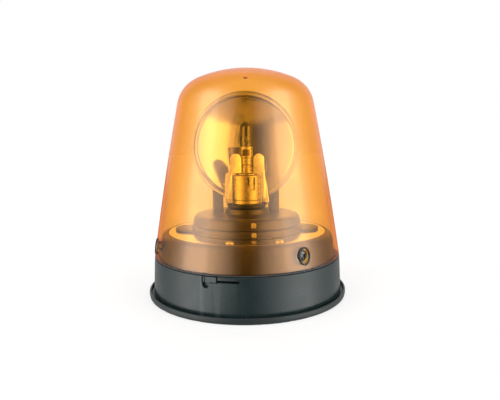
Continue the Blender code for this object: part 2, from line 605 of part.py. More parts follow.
def make_socket(carrier):
    base_bottom = TURNTABLE_BOSS_TOP + GAP
    disc = [(3.6, base_bottom), (15.6, base_bottom), (16.2, base_bottom + 0.6),
            (16.2, SOCKET_BASE_TOP - 0.5), (15.7, SOCKET_BASE_TOP), (3.6, SOCKET_BASE_TOP)]
    base = add_object("socket_base", turned(disc, 28), "black_abs", carrier)
    lug_back = CLIP_FRONT + CLIP_SHEET + GAP
    lugs = []
    for side in (-1, 1):
        low_x = min(side * 13.1, side * 17.0)
        high_x = max(side * 13.1, side * 17.0)
        lugs.append(block((low_x, lug_back, SOCKET_BASE_TOP - 1.5), (high_x, lug_back + 2.0, 79.4)))
    combine(base, add_tool("socket_base_lugs", joined(lugs), carrier), 'UNION')
    holes = [side_prism([(side * CLIP_PIVOT_X + 1.0 * math.cos(math.tau * step / 12),
                          CLIP_PIVOT_HEIGHT + 1.0 * math.sin(math.tau * step / 12))
                         for step in range(12)], -12.0, 6.0) for side in (-1, 1)]
    combine(base, add_tool("clip_pin_holes", joined(holes), carrier), 'DIFFERENCE')
    bottom = SOCKET_BASE_TOP + GAP
    shell = [(11.4, bottom), (SOCKET_RADIUS, bottom), (SOCKET_RADIUS, SOCKET_TOP), (9.6, SOCKET_TOP),
             (9.6, SOCKET_TOP - 1.0), (11.4, SOCKET_TOP - 1.0)]
    sleeve = add_object("lamp_socket", turned(shell, 28), "nickel", carrier)
    lance = prism([(-2.4, 87.0), (2.4, 87.0), (2.4, 96.4), (1.4, 96.4), (1.4, 88.1), (-1.4, 88.1),
                   (-1.4, 96.4), (-2.4, 96.4)], 9.0, 14.0)
    bmesh.ops.rotate(lance, cent=(0, 0, 0), matrix=Matrix.Rotation(math.radians(90), 3, 'X'),
                     verts=lance.verts)
    combine(sleeve, add_tool("socket_lance", lance, carrier, turn=12.0), 'DIFFERENCE')
    core = [(3.6, bottom), (11.1, bottom), (11.1, 90.0), (3.6, 90.0)]
    add_object("socket_insulator", turned(core, 24), "ceramic", carrier)
    contact = [(0.0, base_bottom), (2.0, base_bottom), (3.3, 76.0), (3.3, 91.5), (1.6, 93.3), (0.0, 93.3)]
    add_object("centre_contact", turned(contact, 16), "brass", carrier)


def clip_outline(side):
    """Face of a spring clip in its pivot's own x and z, side is -1 for left and 1 for right."""
    ear_middle = 9.8 - CLIP_PIVOT_X
    ear_half = 4.6
    ear_top = 116.2 - CLIP_PIVOT_HEIGHT
    neck = 99.0 - CLIP_PIVOT_HEIGHT
    foot = SOCKET_BASE_TOP + 1.0 - CLIP_PIVOT_HEIGHT
    inner = SOCKET_RADIUS + 0.5 - CLIP_PIVOT_X
    points = [(inner, foot), (2.4, foot), (2.4, foot + 1.6), (-1.2, neck - 1.5), (-1.2, neck + 3.4),
              (ear_middle + ear_half, neck + 4.0)]
    for step in range(9):
        angle = math.pi * step / 8
        points.append((ear_middle + ear_half * math.cos(angle), ear_top - ear_half + ear_half * math.sin(angle)))
    points += [(ear_middle - ear_half, neck + 1.3), (inner, neck + 1.3)]
    return [(side * x, z) for x, z in points]


def make_clip(name, side, pivot):
    clip = add_object(name, side_prism(clip_outline(side), CLIP_FRONT, CLIP_FRONT + CLIP_SHEET),
                      "nickel", pivot, smooth=False)
    hole = side_prism([(1.1 * math.cos(math.tau * step / 12), 1.1 * math.sin(math.tau * step / 12))
                       for step in range(12)], CLIP_FRONT - 1.0, CLIP_FRONT + CLIP_SHEET + 1.0)
    combine(clip, add_tool(name + "_hole", hole, pivot), 'DIFFERENCE')


def make_clip_pin(name, side, carrier):
    """Headed pin along Y through the clip and the lug behind it."""
    outline = [(0.0, CLIP_FRONT - 1.3), (1.7, CLIP_FRONT - 1.3), (1.7, CLIP_FRONT - GAP),
               (0.7, CLIP_FRONT - GAP), (0.7, CLIP_FRONT + 4.2), (0.0, CLIP_FRONT + 4.2)]
    shape = turned(outline, 12)
    bmesh.ops.rotate(shape, cent=(0, 0, 0), matrix=Matrix.Rotation(math.radians(-90), 3, 'X'),
                     verts=shape.verts)
    bmesh.ops.translate(shape, vec=(side * CLIP_PIVOT_X, 0, CLIP_PIVOT_HEIGHT), verts=shape.verts)
    add_object(name, shape, "zinc_steel", carrier)


def make_bulb(carrier):
    flange = [(0.0, 93.6), (6.5, 93.6), (6.5, 98.6), (9.2, 98.6), (9.2, 99.6), (0.0, 99.6)]
    add_object("bulb_flange", turned(flange, 20), "nickel", carrier)
    neck = [(0.0, 99.9), (5.2, 99.9), (5.2, 112.4), (0.0, 112.4)]
    add_object("bulb_base", turned(neck, 18), "nickel", carrier)
    collar = add_object("bulb_collar", cylinder(5.6, 112.7, 122.0, sides=24), "nickel", carrier)
    window = block((-3.0, -7.0, 114.2), (3.0, 7.0, 119.6))
    combine(collar, add_tool("bulb_collar_window", window, carrier, turn=-ROTOR_TURN), 'DIFFERENCE')
    tip_centre = BULB_TIP - BULB_RADIUS
    inner = BULB_RADIUS - 0.9
    glass = [(inner, 122.3), (BULB_RADIUS, 122.3)]
    glass += arc(0.0, tip_centre, BULB_RADIUS, 0.0, 90.0, 4)
    glass += list(reversed(arc(0.0, tip_centre, inner, 0.0, 90.0, 4)))
    add_object("bulb_glass", turned(glass, 18), "glass", carrier)


def make_wire(name, points, radius, finish, parent):
    """A round wire through hand-set points in millimetres."""
    curve = bpy.data.curves.new(name, 'CURVE')
    curve.dimensions = '3D'
    curve.bevel_depth = radius * MM
    curve.bevel_resolution = 1
    curve.use_fill_caps = True
    spline = curve.splines.new('POLY')
    spline.points.add(len(points) - 1)
    for spot, (x, y, z) in zip(spline.points, points):
        spot.co = (x * MM, y * MM, z * MM, 1.0)
    wire = bpy.data.objects.new(name, curve)
    bpy.context.scene.collection.objects.link(wire)
    wire.parent = parent
    curve.materials.append(make_material(name, finish))


def make_filament(carrier):
    bottom = 124.0
    turns = 4
    pitch = 1.2
    per_turn = 8
    coil = []
    for step in range(turns * per_turn + 1):
        angle = math.tau * step / per_turn
        coil.append((1.1 * math.cos(angle), 1.1 * math.sin(angle), bottom + pitch * step / per_turn))
    make_wire("filament", coil, 0.22, "tungsten", carrier)
    top = bottom + turns * pitch
    make_wire("filament_lead_1", [(1.1, 0, 122.6), (1.1, 0, bottom - 0.55)], 0.25, "tungsten", carrier)
    make_wire("filament_lead_2", [(-2.6, 0, 122.6), (-2.6, 0, top + 0.8), (1.1, 0, top + 1.0)],
              0.25, "tungsten", carrier)


# ---------------------------------------------------------------- moving train

def make_turntable(rotor):
    underside = TURNTABLE_TOP - 2.6
    outline = [(HUB_BORE, 59.4), (HUB_RADIUS, 59.4), (HUB_RADIUS, underside), (41.6, underside),
               (43.2, TURNTABLE_BOTTOM), (45.6, TURNTABLE_BOTTOM), (TURNTABLE_RADIUS, 63.4),
               (43.4, 65.4), (41.4, TURNTABLE_TOP), (TURNTABLE_BOSS_RADIUS + 1.0, TURNTABLE_TOP),
               (TURNTABLE_BOSS_RADIUS, TURNTABLE_BOSS_TOP), (HUB_BORE, TURNTABLE_BOSS_TOP)]
    add_object("turntable", turned(outline), "grey_plastic", rotor)
    bush = [(SPINDLE_RADIUS + GAP, 59.4), (HUB_BORE - GAP, 59.4), (HUB_BORE - GAP, 68.6),
            (SPINDLE_RADIUS + GAP, 68.6)]
    add_object("bearing_bush", turned(bush, 24), "brass", rotor)
    gear = prism(gear_outline(RING_TEETH, math.pi / 2), HIGH_GEAR_BOTTOM, HIGH_GEAR_TOP)
    ring = add_object("ring_gear", gear, "nylon", rotor, smooth=False)
    bore = cylinder(HUB_RADIUS + GAP, HIGH_GEAR_BOTTOM - 1.0, HIGH_GEAR_TOP + 1.0, sides=ROUND)
    combine(ring, add_tool("ring_gear_bore", bore, rotor), 'DIFFERENCE')


def make_intermediate_gear(train):
    """Large wheel below and small pinion above, in one moulding."""
    wheel = prism(gear_outline(WHEEL_TEETH, 0.0), LOW_GEAR_BOTTOM, LOW_GEAR_TOP)
    gear = add_object("intermediate_gear", wheel, "nylon", train, smooth=False)
    first_gap = -math.pi / 2 + math.pi / SMALL_TEETH
    pinion = prism(gear_outline(SMALL_TEETH, first_gap), LOW_GEAR_TOP - 1.0, HIGH_GEAR_TOP + 0.3)
    combine(gear, add_tool("small_pinion", pinion, train), 'UNION')
    bore = cylinder(1.8, LOW_GEAR_BOTTOM - 1.0, HIGH_GEAR_TOP + 2.0)
    combine(gear, add_tool("intermediate_bore", bore, train), 'DIFFERENCE')


def make_motor_pinion(pinion):
    shape = prism(gear_outline(PINION_TEETH, math.pi + math.pi / PINION_TEETH), LOW_GEAR_BOTTOM,
                  LOW_GEAR_TOP)
    gear = add_object("motor_pinion", shape, "brass", pinion, smooth=False)
    bore = cylinder(1.5, LOW_GEAR_BOTTOM - 1.0, LOW_GEAR_TOP + 1.0)
    combine(gear, add_tool("motor_pinion_bore", bore, pinion), 'DIFFERENCE')
    add_object("motor_shaft", cylinder(1.2, 43.4, LOW_GEAR_TOP), "zinc_steel", pinion)


def bowl_depth(radius):
    return radius * radius / (4 * FOCAL_LENGTH)


def bowl_shell(clearance=0.0):
    """Inner and outer lines of the reflector's sheet, from its deepest point at the origin."""
    inner = []
    outer = []
    for step in range(7):
        radius = BOWL_RADIUS * step / 6
        inner.append((radius, bowl_depth(radius)))
        steepness = math.atan(radius / (2 * FOCAL_LENGTH))
        thickness = SHEET + clearance
        outer.append((radius + thickness * math.sin(steepness),
                      bowl_depth(radius) - thickness * math.cos(steepness)))
    return inner, outer


def make_reflector(carrier):
    """Mirrored metal bowl that faces -Y, and the two posts that carry it."""
    inner, outer = bowl_shell()
    edge = bowl_depth(BOWL_RADIUS)
    rim = [(RIM_RADIUS - 0.6, edge + 0.9), (RIM_RADIUS, edge + 0.3), (RIM_RADIUS, edge - 1.9),
           (RIM_RADIUS - 0.9, edge - 1.9), (RIM_RADIUS - 0.9, edge - 0.1)]
    outline = inner + rim + [outer[-1]] + list(reversed(outer[:-1]))
    bowl = turned(outline, ROUND)
    upright = Matrix.Rotation(math.radians(90), 3, 'X')
    bmesh.ops.rotate(bowl, cent=(0, 0, 0), matrix=upright, verts=bowl.verts)
    bmesh.ops.translate(bowl, vec=(0, BOWL_BACK, REFLECTOR_HEIGHT), verts=bowl.verts)
    dish = add_object("reflector_dish", bowl, "chrome", carrier)
    opening = side_prism([(-OPENING_HALF_WIDTH_LOW, 60.0), (OPENING_HALF_WIDTH_LOW, 60.0),
                          (OPENING_HALF_WIDTH_LOW, 78.0), (OPENING_HALF_WIDTH_HIGH, OPENING_TOP - 3.0),
                          (OPENING_HALF_WIDTH_HIGH - 3.0, OPENING_TOP),
                          (3.0 - OPENING_HALF_WIDTH_HIGH, OPENING_TOP),
                          (-OPENING_HALF_WIDTH_HIGH, OPENING_TOP - 3.0),
                          (-OPENING_HALF_WIDTH_LOW, 78.0)], -60.0, 30.0)
    combine(dish, add_tool("reflector_opening", opening, carrier), 'DIFFERENCE')
    for name, side in (("left", -1), ("right", 1)):
        low_x = min(side * POST_INNER, side * POST_OUTER)
        high_x = max(side * POST_INNER, side * POST_OUTER)
        post = add_object("reflector_post_" + name,
                          block((low_x, POST_FRONT, TURNTABLE_TOP + GAP), (high_x, POST_BACK, POST_TOP)),
                          "grey_plastic", carrier, smooth=False)
        cavity_outer = bowl_shell(GAP + 0.25)[1]
        side_line = cavity_outer[-1][0]
        cavity = turned(cavity_outer + [(side_line + 0.8, edge - 2.4), (side_line + 8.0, edge - 2.4),
                                        (side_line + 8.0, 80.0), (0.0, 80.0)], ROUND)
        bmesh.ops.rotate(cavity, cent=(0, 0, 0), matrix=upright, verts=cavity.verts)
        bmesh.ops.translate(cavity, vec=(0, BOWL_BACK, REFLECTOR_HEIGHT), verts=cavity.verts)
        combine(post, add_tool("post_saddle_" + name, cavity, carrier), 'DIFFERENCE')


# ---------------------------------------------------------------- assembly

def build():
    clear_scene()
    base = add_empty("base_frame")
    make_gasket(base)
    make_base_housing(base)
    make_inserts(base)
    make_cable_grommet(base)
    make_terminal_block(base)
    latch_x, latch_y = on_circle(LATCH_PIVOT_RADIUS, LATCH_AZIMUTH)
    latch = add_empty("latch_axis", (latch_x, latch_y, LATCH_PIVOT_HEIGHT), LATCH_AZIMUTH, base)
    make_latch(latch)
    head = add_empty("head_axis", parent=base)
    make_collar(head)
    make_deck(head)
    make_dome(head)
    make_dome_screws(head)
    make_spindle(head)
    make_gear_cover(head)
    make_gear_axle(head)
    make_motor(head)
    make_circuit(head)
    rotor = add_empty("rotor_axis", parent=head)
    make_turntable(rotor)
    carrier = add_empty("carrier_frame", turn=ROTOR_TURN, parent=rotor)
    make_reflector(carrier)
    make_socket(carrier)
    make_bulb(carrier)
    make_filament(carrier)
    for name, side in (("left", -1), ("right", 1)):
        place = (side * CLIP_PIVOT_X, 0.0, CLIP_PIVOT_HEIGHT)
        pivot = add_empty("clip_%s_axis" % name, place, parent=carrier)
        make_clip("bulb_clip_" + name, side, pivot)
        make_clip_pin("clip_pin_" + name, side, carrier)
    train = add_empty("intermediate_axis", (WHEEL_AXIS[0], WHEEL_AXIS[1], 0.0), parent=head)
    make_intermediate_gear(train)
    pinion = add_empty("motor_axis", (MOTOR_AXIS[0], MOTOR_AXIS[1], 0.0), parent=head)
    make_motor_pinion(pinion)


build()
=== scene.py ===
"""The looks of a rotating halogen beacon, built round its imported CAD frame.

Shapes are made in millimetres and become metres when a mesh is made. +Z is up, the
front is -Y, and an azimuth is measured from the front, counter-clockwise from above.
"""
import json
import math

import bmesh
import bpy
from mathutils import Matrix, Vector, noise


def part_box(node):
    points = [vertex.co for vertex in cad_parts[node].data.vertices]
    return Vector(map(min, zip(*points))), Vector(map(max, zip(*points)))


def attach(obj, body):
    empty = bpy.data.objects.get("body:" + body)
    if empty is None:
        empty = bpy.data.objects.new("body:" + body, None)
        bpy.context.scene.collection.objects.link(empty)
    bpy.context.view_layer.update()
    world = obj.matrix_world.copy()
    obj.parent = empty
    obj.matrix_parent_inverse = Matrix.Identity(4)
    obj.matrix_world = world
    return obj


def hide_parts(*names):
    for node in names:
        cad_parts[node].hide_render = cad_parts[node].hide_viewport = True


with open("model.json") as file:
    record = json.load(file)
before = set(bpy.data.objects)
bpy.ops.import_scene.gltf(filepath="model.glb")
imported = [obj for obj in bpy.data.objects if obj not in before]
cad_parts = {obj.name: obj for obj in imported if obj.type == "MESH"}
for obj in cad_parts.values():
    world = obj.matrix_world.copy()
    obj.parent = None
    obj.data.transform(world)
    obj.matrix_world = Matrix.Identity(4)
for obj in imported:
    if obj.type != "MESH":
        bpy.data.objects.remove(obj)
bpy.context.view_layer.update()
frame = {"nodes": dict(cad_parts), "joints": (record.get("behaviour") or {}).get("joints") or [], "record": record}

MM = 0.001
GAP = 0.3                      # clearance between neighbouring pieces
LARGE_ROUND = 240              # sides of the dome, base and other large turned pieces
DECK_ROUND = 233               # a count of sides at which the deck's holes leave a closed mesh
MEDIUM_ROUND = 96
SMALL_ROUND = 40

INSERTS = ["mounting_insert_1", "mounting_insert_2", "mounting_insert_3"]
DOME_SCREWS = ["dome_screw_1", "dome_screw_2", "dome_screw_3"]
DECK_SCREWS = ["deck_screw_1", "deck_screw_2", "deck_screw_3", "deck_screw_4"]

DOME_WALL = 2.6
DOME_SLOPE = 0.1495            # how fast the wall leans in, at its foot
DOME_CURVE = 0.0002
DOME_SHOULDER_HEIGHT = 157.7
DOME_SHOULDER_RADIUS = 26.0
DOME_CENTRE_HEIGHT = 110.0     # inside the dome, to tell its inner faces from its outer

SEAT_RADIUS = 4.3              # hole in the dome and counterbore in the collar
WASHER_PLACE = 76.42           # from the axis to the back of a washer
WASHER_LEAN = -0.152           # the dome wall's lean there, in radians
WASHER_RINGS = [(3.9, 5.4, 0.0), (3.9, 5.4, 0.7), (4.3, 5.8, 1.0), (4.8, 6.3, 1.0),
                (5.2, 6.7, 0.6), (5.2, 6.7, 0.0)]    # half width, half height, how proud

LUG_BOTTOM = 12.0
LUG_TOP = 15.5
LUG_AZIMUTHS = (60.0, 180.0, 300.0)
LUG_HALF_WIDTH = 4.5

BOWL_HEIGHT = 122.0            # middle of the mirror
BOWL_BACK = 12.0               # its deepest point, behind the axis
BOWL_EDGE = 41.2
BOWL_RIM = 45.8
BOWL_SHEET = 0.9
FOCAL_LENGTH = 30.0
POST_NEAR = 20.0
POST_FAR = 28.4
POST_FRONT = -1.5
POST_BACK = 6.5
POST_TOP = 99.0
SADDLE_DEPTH = 1.45            # from the mirrored face to the post

CLIP_FRONT = -5.0
CLIP_BACK = -4.1
PIN_OFFSET = 16.0              # clip pins, either side of the lamp's axis
# azimuth of the two pale tabs that paint highlights on the turntable and gear cover
HIGHLIGHT_TAB_AZIMUTH = 7.0


# ---------------------------------------------------------------- places in the frame

def low(node):
    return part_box(node)[0] / MM


def high(node):
    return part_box(node)[1] / MM


def reach(node):
    """Largest distance of a turned node from the lamp's axis."""
    lowest, highest = low(node), high(node)
    return max(highest.x, highest.y, -lowest.x, -lowest.y)


def joint(name):
    return next(entry for entry in frame["joints"] if entry["name"] == name)


def joint_place(name):
    """A joint's place seen from above."""
    place = joint(name)["pos_m"]
    return (place[0] / MM, place[1] / MM)


def on_circle(radius, azimuth):
    angle = math.radians(azimuth)
    return (radius * math.sin(angle), -radius * math.cos(angle))


def middle_of(node):
    middle = (low(node) + high(node)) / 2
    return (middle.x, middle.y)


def middle_height(node):
    return (low(node).z + high(node).z) / 2


def azimuth_of(node):
    """Azimuth of the middle of a node, in degrees."""
    middle = (low(node) + high(node)) / 2
    return math.degrees(math.atan2(middle.x, -middle.y))


clip_axis = joint("clip_left_open")["axis"]
ROTOR_TURN = math.degrees(math.atan2(-clip_axis[0], clip_axis[1]))


# ---------------------------------------------------------------- shapes

def rounded(corners, steps=5):
    """Closed outline of (x, y, rounding) corners with each corner rounded off."""
    points = []
    for index, (x, y, rounding) in enumerate(corners):
        here = Vector((x, y))
        if rounding <= 0.0:
            points.append((x, y))
            continue
        before = Vector(corners[index - 1][:2])
        after = Vector(corners[(index + 1) % len(corners)][:2])
        start = here + (before - here).normalized() * rounding
        end = here + (after - here).normalized() * rounding
        for step in range(steps + 1):
            share = step / steps
            spot = start * (1 - share) ** 2 + here * (2 * share * (1 - share)) + end * share ** 2
            points.append((spot.x, spot.y))
    return points


def turned(outline, sides):
    """Turn a closed (radius, height) outline about Z."""
    shape = bmesh.new()
    rings = []
    for radius, height in outline:
        if radius < 1e-6:
            rings.append([shape.verts.new((0.0, 0.0, height))])
            continue
        ring = []
        for side in range(sides):
            angle = math.tau * side / sides
            ring.append(shape.verts.new((radius * math.cos(angle), radius * math.sin(angle), height)))
        rings.append(ring)
    for index, ring in enumerate(rings):
        following = rings[(index + 1) % len(rings)]
        if len(ring) == 1 and len(following) == 1:
            continue
        for side in range(sides):
            ahead = (side + 1) % sides
            corners = [ring[side % len(ring)], ring[ahead % len(ring)],
                       following[ahead % len(following)], following[side % len(following)]]
            unique = []
            for corner in corners:
                if corner not in unique:
                    unique.append(corner)
            shape.faces.new(unique)
    bmesh.ops.recalc_face_normals(shape, faces=shape.faces)
    return shape


def prism(outline, bottom, top):
    """Raise a closed (x, y) outline from bottom to top."""
    shape = bmesh.new()
    base = shape.faces.new([shape.verts.new((x, y, bottom)) for x, y in outline])
    raised = bmesh.ops.extrude_face_region(shape, geom=[base])
    verts = [item for item in raised["geom"] if isinstance(item, bmesh.types.BMVert)]
    bmesh.ops.translate(shape, vec=(0, 0, top - bottom), verts=verts)
    bmesh.ops.recalc_face_normals(shape, faces=shape.faces)
    return shape


def upright(shape):
    """Turn what faced +Z to face -Y."""
    bmesh.ops.rotate(shape, cent=(0, 0, 0), matrix=Matrix.Rotation(math.radians(90), 3, 'X'),
                     verts=shape.verts)
    return shape


def side_prism(outline, front, back):
    """Raise a closed (x, z) outline along Y, from front to back."""
    return upright(prism(outline, -back, -front))


def block(corner, opposite):
    outline = [(corner[0], corner[1]), (opposite[0], corner[1]),
               (opposite[0], opposite[1]), (corner[0], opposite[1])]
    return prism(outline, corner[2], opposite[2])


def circle(radius, centre=(0.0, 0.0), sides=SMALL_ROUND):
    return [(centre[0] + radius * math.cos(math.tau * side / sides),
             centre[1] + radius * math.sin(math.tau * side / sides)) for side in range(sides)]


def rod(radius, bottom, top, centre=(0.0, 0.0), sides=SMALL_ROUND):
    return prism(circle(radius, centre, sides), bottom, top)


def radial_rod(radius, inner, outer, height, azimuth, sides=SMALL_ROUND):
    """A rod that points away from the axis at an azimuth."""
    return moved(side_prism(circle(radius, (0.0, height), sides), -outer, -inner), azimuth)


def sector(inner, outer, start, end, bottom, top, steps=24):
    """A piece of a ring between two azimuths."""
    outline = []
    for radius, first, last in ((inner, start, end), (outer, end, start)):
        for step in range(steps + 1):
            outline.append(on_circle(radius, first + (last - first) * step / steps))
    return prism(outline, bottom, top)


def moved(shape, azimuth=0.0, by=(0.0, 0.0, 0.0)):
    """Turn a shape about Z and then shift it."""
    bmesh.ops.rotate(shape, cent=(0, 0, 0), matrix=Matrix.Rotation(math.radians(azimuth), 3, 'Z'),
                     verts=shape.verts)
    bmesh.ops.translate(shape, vec=by, verts=shape.verts)
    return shape


def swept(stations):
    """A closed strip through matching rings of points."""
    shape = bmesh.new()
    rings = [[shape.verts.new(point) for point in station] for station in stations]
    for ring, following in zip(rings, rings[1:]):
        for index in range(len(ring)):
            ahead = (index + 1) % len(ring)
            shape.faces.new((ring[index], ring[ahead], following[ahead], following[index]))
    shape.faces.new(rings[0])
    shape.faces.new(rings[-1])
    bmesh.ops.recalc_face_normals(shape, faces=shape.faces)
    return shape


def stand_in(name, shape):
    """A short-lived object for a Boolean, in millimetres."""
    mesh = bpy.data.meshes.new(name)
    bmesh.ops.recalc_face_normals(shape, faces=shape.faces)
    shape.to_mesh(mesh)
    shape.free()
    made = bpy.data.objects.new(name, mesh)
    bpy.context.scene.collection.objects.link(made)
    return made


def combined(shape, tools, operation='DIFFERENCE'):
    """The shape with the tools cut away, added or kept."""
    subject = stand_in("subject", shape)
    helpers = [stand_in("helper", tool) for tool in tools]
    for helper in helpers:
        modifier = subject.modifiers.new("combine", 'BOOLEAN')
        modifier.operation = operation
        modifier.solver = 'EXACT'
        modifier.object = helper
    bpy.context.view_layer.update()
    result = bmesh.new()
    result.from_object(subject, bpy.context.evaluated_depsgraph_get())
    for made in [subject] + helpers:
        mesh = made.data
        bpy.data.objects.remove(made)
        bpy.data.meshes.remove(mesh)
    return result


def softened(shape, width, angle=40.0, segments=2):
    """Round the sharp edges of a shape by a width."""
    edges = [edge for edge in shape.edges if len(edge.link_faces) == 2
             and edge.calc_face_angle(0.0) > math.radians(angle)]
    bmesh.ops.bevel(shape, geom=edges, offset=width, offset_type='OFFSET', segments=segments,
                    profile=0.5, affect='EDGES', clamp_overlap=True)
    return shape


def piece(name, shape, finish, body, nodes, turn=0.0, sharp=32.0):
    """Make a visible piece from a shape in millimetres; it stands for the named nodes."""
    moved(shape, turn)
    bmesh.ops.scale(shape, vec=(MM, MM, MM), verts=shape.verts)
    bmesh.ops.recalc_face_normals(shape, faces=shape.faces)
    mesh = bpy.data.meshes.new(name)
    shape.to_mesh(mesh)
    shape.free()
    mesh.shade_smooth()
    mesh.set_sharp_from_angle(angle=math.radians(sharp))
    mesh.materials.append(finish)
    made = bpy.data.objects.new(name, mesh)
    bpy.context.scene.collection.objects.link(made)
    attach(made, body)
    if nodes:
        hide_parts(*nodes)
    return made


# ---------------------------------------------------------------- material building

def colours_of(sockets):
    return [socket for socket in sockets if socket.type == 'RGBA']


class Finish:
    """A node material and short ways to add and join its nodes."""

    def __init__(self, name):
        self.material = bpy.data.materials.new(name)
        self.material.use_nodes = True
        self.tree = self.material.node_tree
        self.shader = self.tree.nodes["Principled BSDF"]
        self.output = self.tree.nodes["Material Output"]
        self.place = self.add("ShaderNodeTexCoord").outputs["Object"]

    def add(self, kind, values=(), **settings):
        made = self.tree.nodes.new(kind)
        for key, value in settings.items():
            setattr(made, key, value)
        for key, value in dict(values).items():
            made.inputs[key].default_value = value
        return made

    def join(self, source, target):
        self.tree.links.new(source, target)

    def noise(self, scale, detail=3.0, stretch=None):
        """Noise value from 0 to 1; scale is in features per metre."""
        texture = self.add("ShaderNodeTexNoise", {"Scale": scale, "Detail": detail})
        if stretch is None:
            self.join(self.place, texture.inputs["Vector"])
        else:
            mapping = self.add("ShaderNodeMapping", {"Scale": stretch})
            self.join(self.place, mapping.inputs["Vector"])
            self.join(mapping.outputs["Vector"], texture.inputs["Vector"])
        return texture.outputs["Fac"]

    def ranged(self, value, from_low, from_high, to_low, to_high):
        node = self.add("ShaderNodeMapRange", {"From Min": from_low, "From Max": from_high,
                                               "To Min": to_low, "To Max": to_high})
        self.join(value, node.inputs["Value"])
        return node.outputs["Result"]

    def mixed(self, share, first, second):
        """Colour between two colours, by a share from a socket."""
        node = self.add("ShaderNodeMix", data_type='RGBA')
        for socket, colour in zip(colours_of(node.inputs), (first, second)):
            socket.default_value = (*colour, 1.0)
        self.join(share, node.inputs[0])
        return colours_of(node.outputs)[0]

    def maths(self, operation, first, second=0.0):
        node = self.add("ShaderNodeMath", operation=operation)
        for socket, value in zip(node.inputs, (first, second)):
            if isinstance(value, float):
                socket.default_value = value
            else:
                self.join(value, socket)
        return node.outputs["Value"]

    def bump(self, height, strength, distance):
        node = self.add("ShaderNodeBump", {"Strength": strength, "Distance": distance})
        self.join(height, node.inputs["Height"])
        return node.outputs["Normal"]


def scaled(colour, factor):
    return tuple(min(1.0, channel * factor) for channel in colour)


def moulded(name, colour, roughness, grain=1400.0, relief=0.00004, variation=0.18, gloss=0.5):
    """Moulded plastic or rubber: fine surface grain, uneven gloss, light wear on edges."""
    made = Finish(name)
    cloud = made.noise(38.0, 4.0)
    tone = made.mixed(cloud, scaled(colour, 1.0 - variation), scaled(colour, 1.0 + variation))
    edges = made.add("ShaderNodeNewGeometry").outputs["Pointiness"]
    worn = made.ranged(edges, 0.53, 0.6, 0.0, 0.35)
    lighter = made.add("ShaderNodeMix", data_type='RGBA')
    made.join(worn, lighter.inputs[0])
    plain, rubbed = colours_of(lighter.inputs)
    made.join(tone, plain)
    rubbed.default_value = (*scaled(tuple(channel + 0.02 for channel in colour), 1.9), 1.0)
    made.join(colours_of(lighter.outputs)[0], made.shader.inputs["Base Color"])
    patches = made.noise(90.0, 5.0)
    made.join(made.ranged(patches, 0.3, 0.7, roughness - 0.05, roughness + 0.07),
              made.shader.inputs["Roughness"])
    fine = made.noise(grain, 2.0)
    made.join(made.bump(fine, 0.35, relief), made.shader.inputs["Normal"])
    made.shader.inputs["IOR"].default_value = 1.5
    made.shader.inputs["Specular IOR Level"].default_value = gloss
    return made.material


def plated(name, colour, roughness, tarnish=0.8, relief=0.00002, metal=1.0):
    """Metal with uneven gloss, faint tarnish and fine tool marks."""
    made = Finish(name)
    stain = made.ranged(made.noise(160.0, 5.0), 0.45, 0.75, 0.0, 1.0)
    made.join(made.mixed(stain, colour, scaled(colour, tarnish)), made.shader.inputs["Base Color"])
    made.shader.inputs["Metallic"].default_value = metal
    made.join(made.ranged(made.noise(420.0, 3.0), 0.3, 0.7, roughness * 0.7, roughness * 1.35),
              made.shader.inputs["Roughness"])
    marks = made.noise(700.0, 2.0, (1.0, 1.0, 6.0))
    made.join(made.bump(marks, 0.3, relief), made.shader.inputs["Normal"])
    return made.material


def clear_shell(name, tint, edge_tint, roughness, gloss=0.04, haze=0.0, haze_colour=(1, 1, 1)):
    """Clear plastic or glass as one surface of a thin wall: tinted, glossy, a little cloudy."""
    made = Finish(name)
    made.tree.nodes.remove(made.shader)
    facing = made.add("ShaderNodeLayerWeight", {"Blend": 0.5}).outputs["Facing"]
    steep = made.maths('POWER', facing, 5.0)
    mirror = made.maths('ADD', made.maths('MULTIPLY', steep, 0.3), gloss)
    uneven = made.noise(26.0, 3.0)
    deeper = made.maths('ADD', made.maths('POWER', facing, 3.0),
                        made.ranged(uneven, 0.3, 0.7, -0.03, 0.03))
    through = made.add("ShaderNodeBsdfTransparent")
    made.join(made.mixed(deeper, tint, edge_tint), through.inputs["Color"])
    shine = made.add("ShaderNodeBsdfGlossy", {"Color": (1, 1, 1, 1)})
    made.join(made.ranged(made.noise(120.0, 4.0), 0.3, 0.7, roughness * 0.7, roughness * 1.3),
              shine.inputs["Roughness"])
    ripple = made.bump(made.noise(55.0, 2.0), 0.25, 0.00012)
    made.join(ripple, shine.inputs["Normal"])
    surface = made.add("ShaderNodeMixShader")
    made.join(mirror, surface.inputs["Fac"])
    made.join(through.outputs["BSDF"], surface.inputs[1])
    made.join(shine.outputs["BSDF"], surface.inputs[2])
    result = surface.outputs["Shader"]
    if haze > 0.0:
        cloudy = made.add("ShaderNodeBsdfTranslucent", {"Color": (*haze_colour, 1.0)})
        matt = made.add("ShaderNodeBsdfDiffuse", {"Color": (*haze_colour, 1.0)})
        both = made.add("ShaderNodeMixShader", {"Fac": 0.5})
        made.join(cloudy.outputs["BSDF"], both.inputs[1])
        made.join(matt.outputs["BSDF"], both.inputs[2])
        blend = made.add("ShaderNodeMixShader")
        made.join(made.ranged(made.noise(70.0, 4.0), 0.3, 0.7, haze * 0.7, haze * 1.3),
                  blend.inputs["Fac"])
        made.join(result, blend.inputs[1])
        made.join(both.outputs["Shader"], blend.inputs[2])
        result = blend.outputs["Shader"]
    made.join(result, made.output.inputs["Surface"])
    return made.material


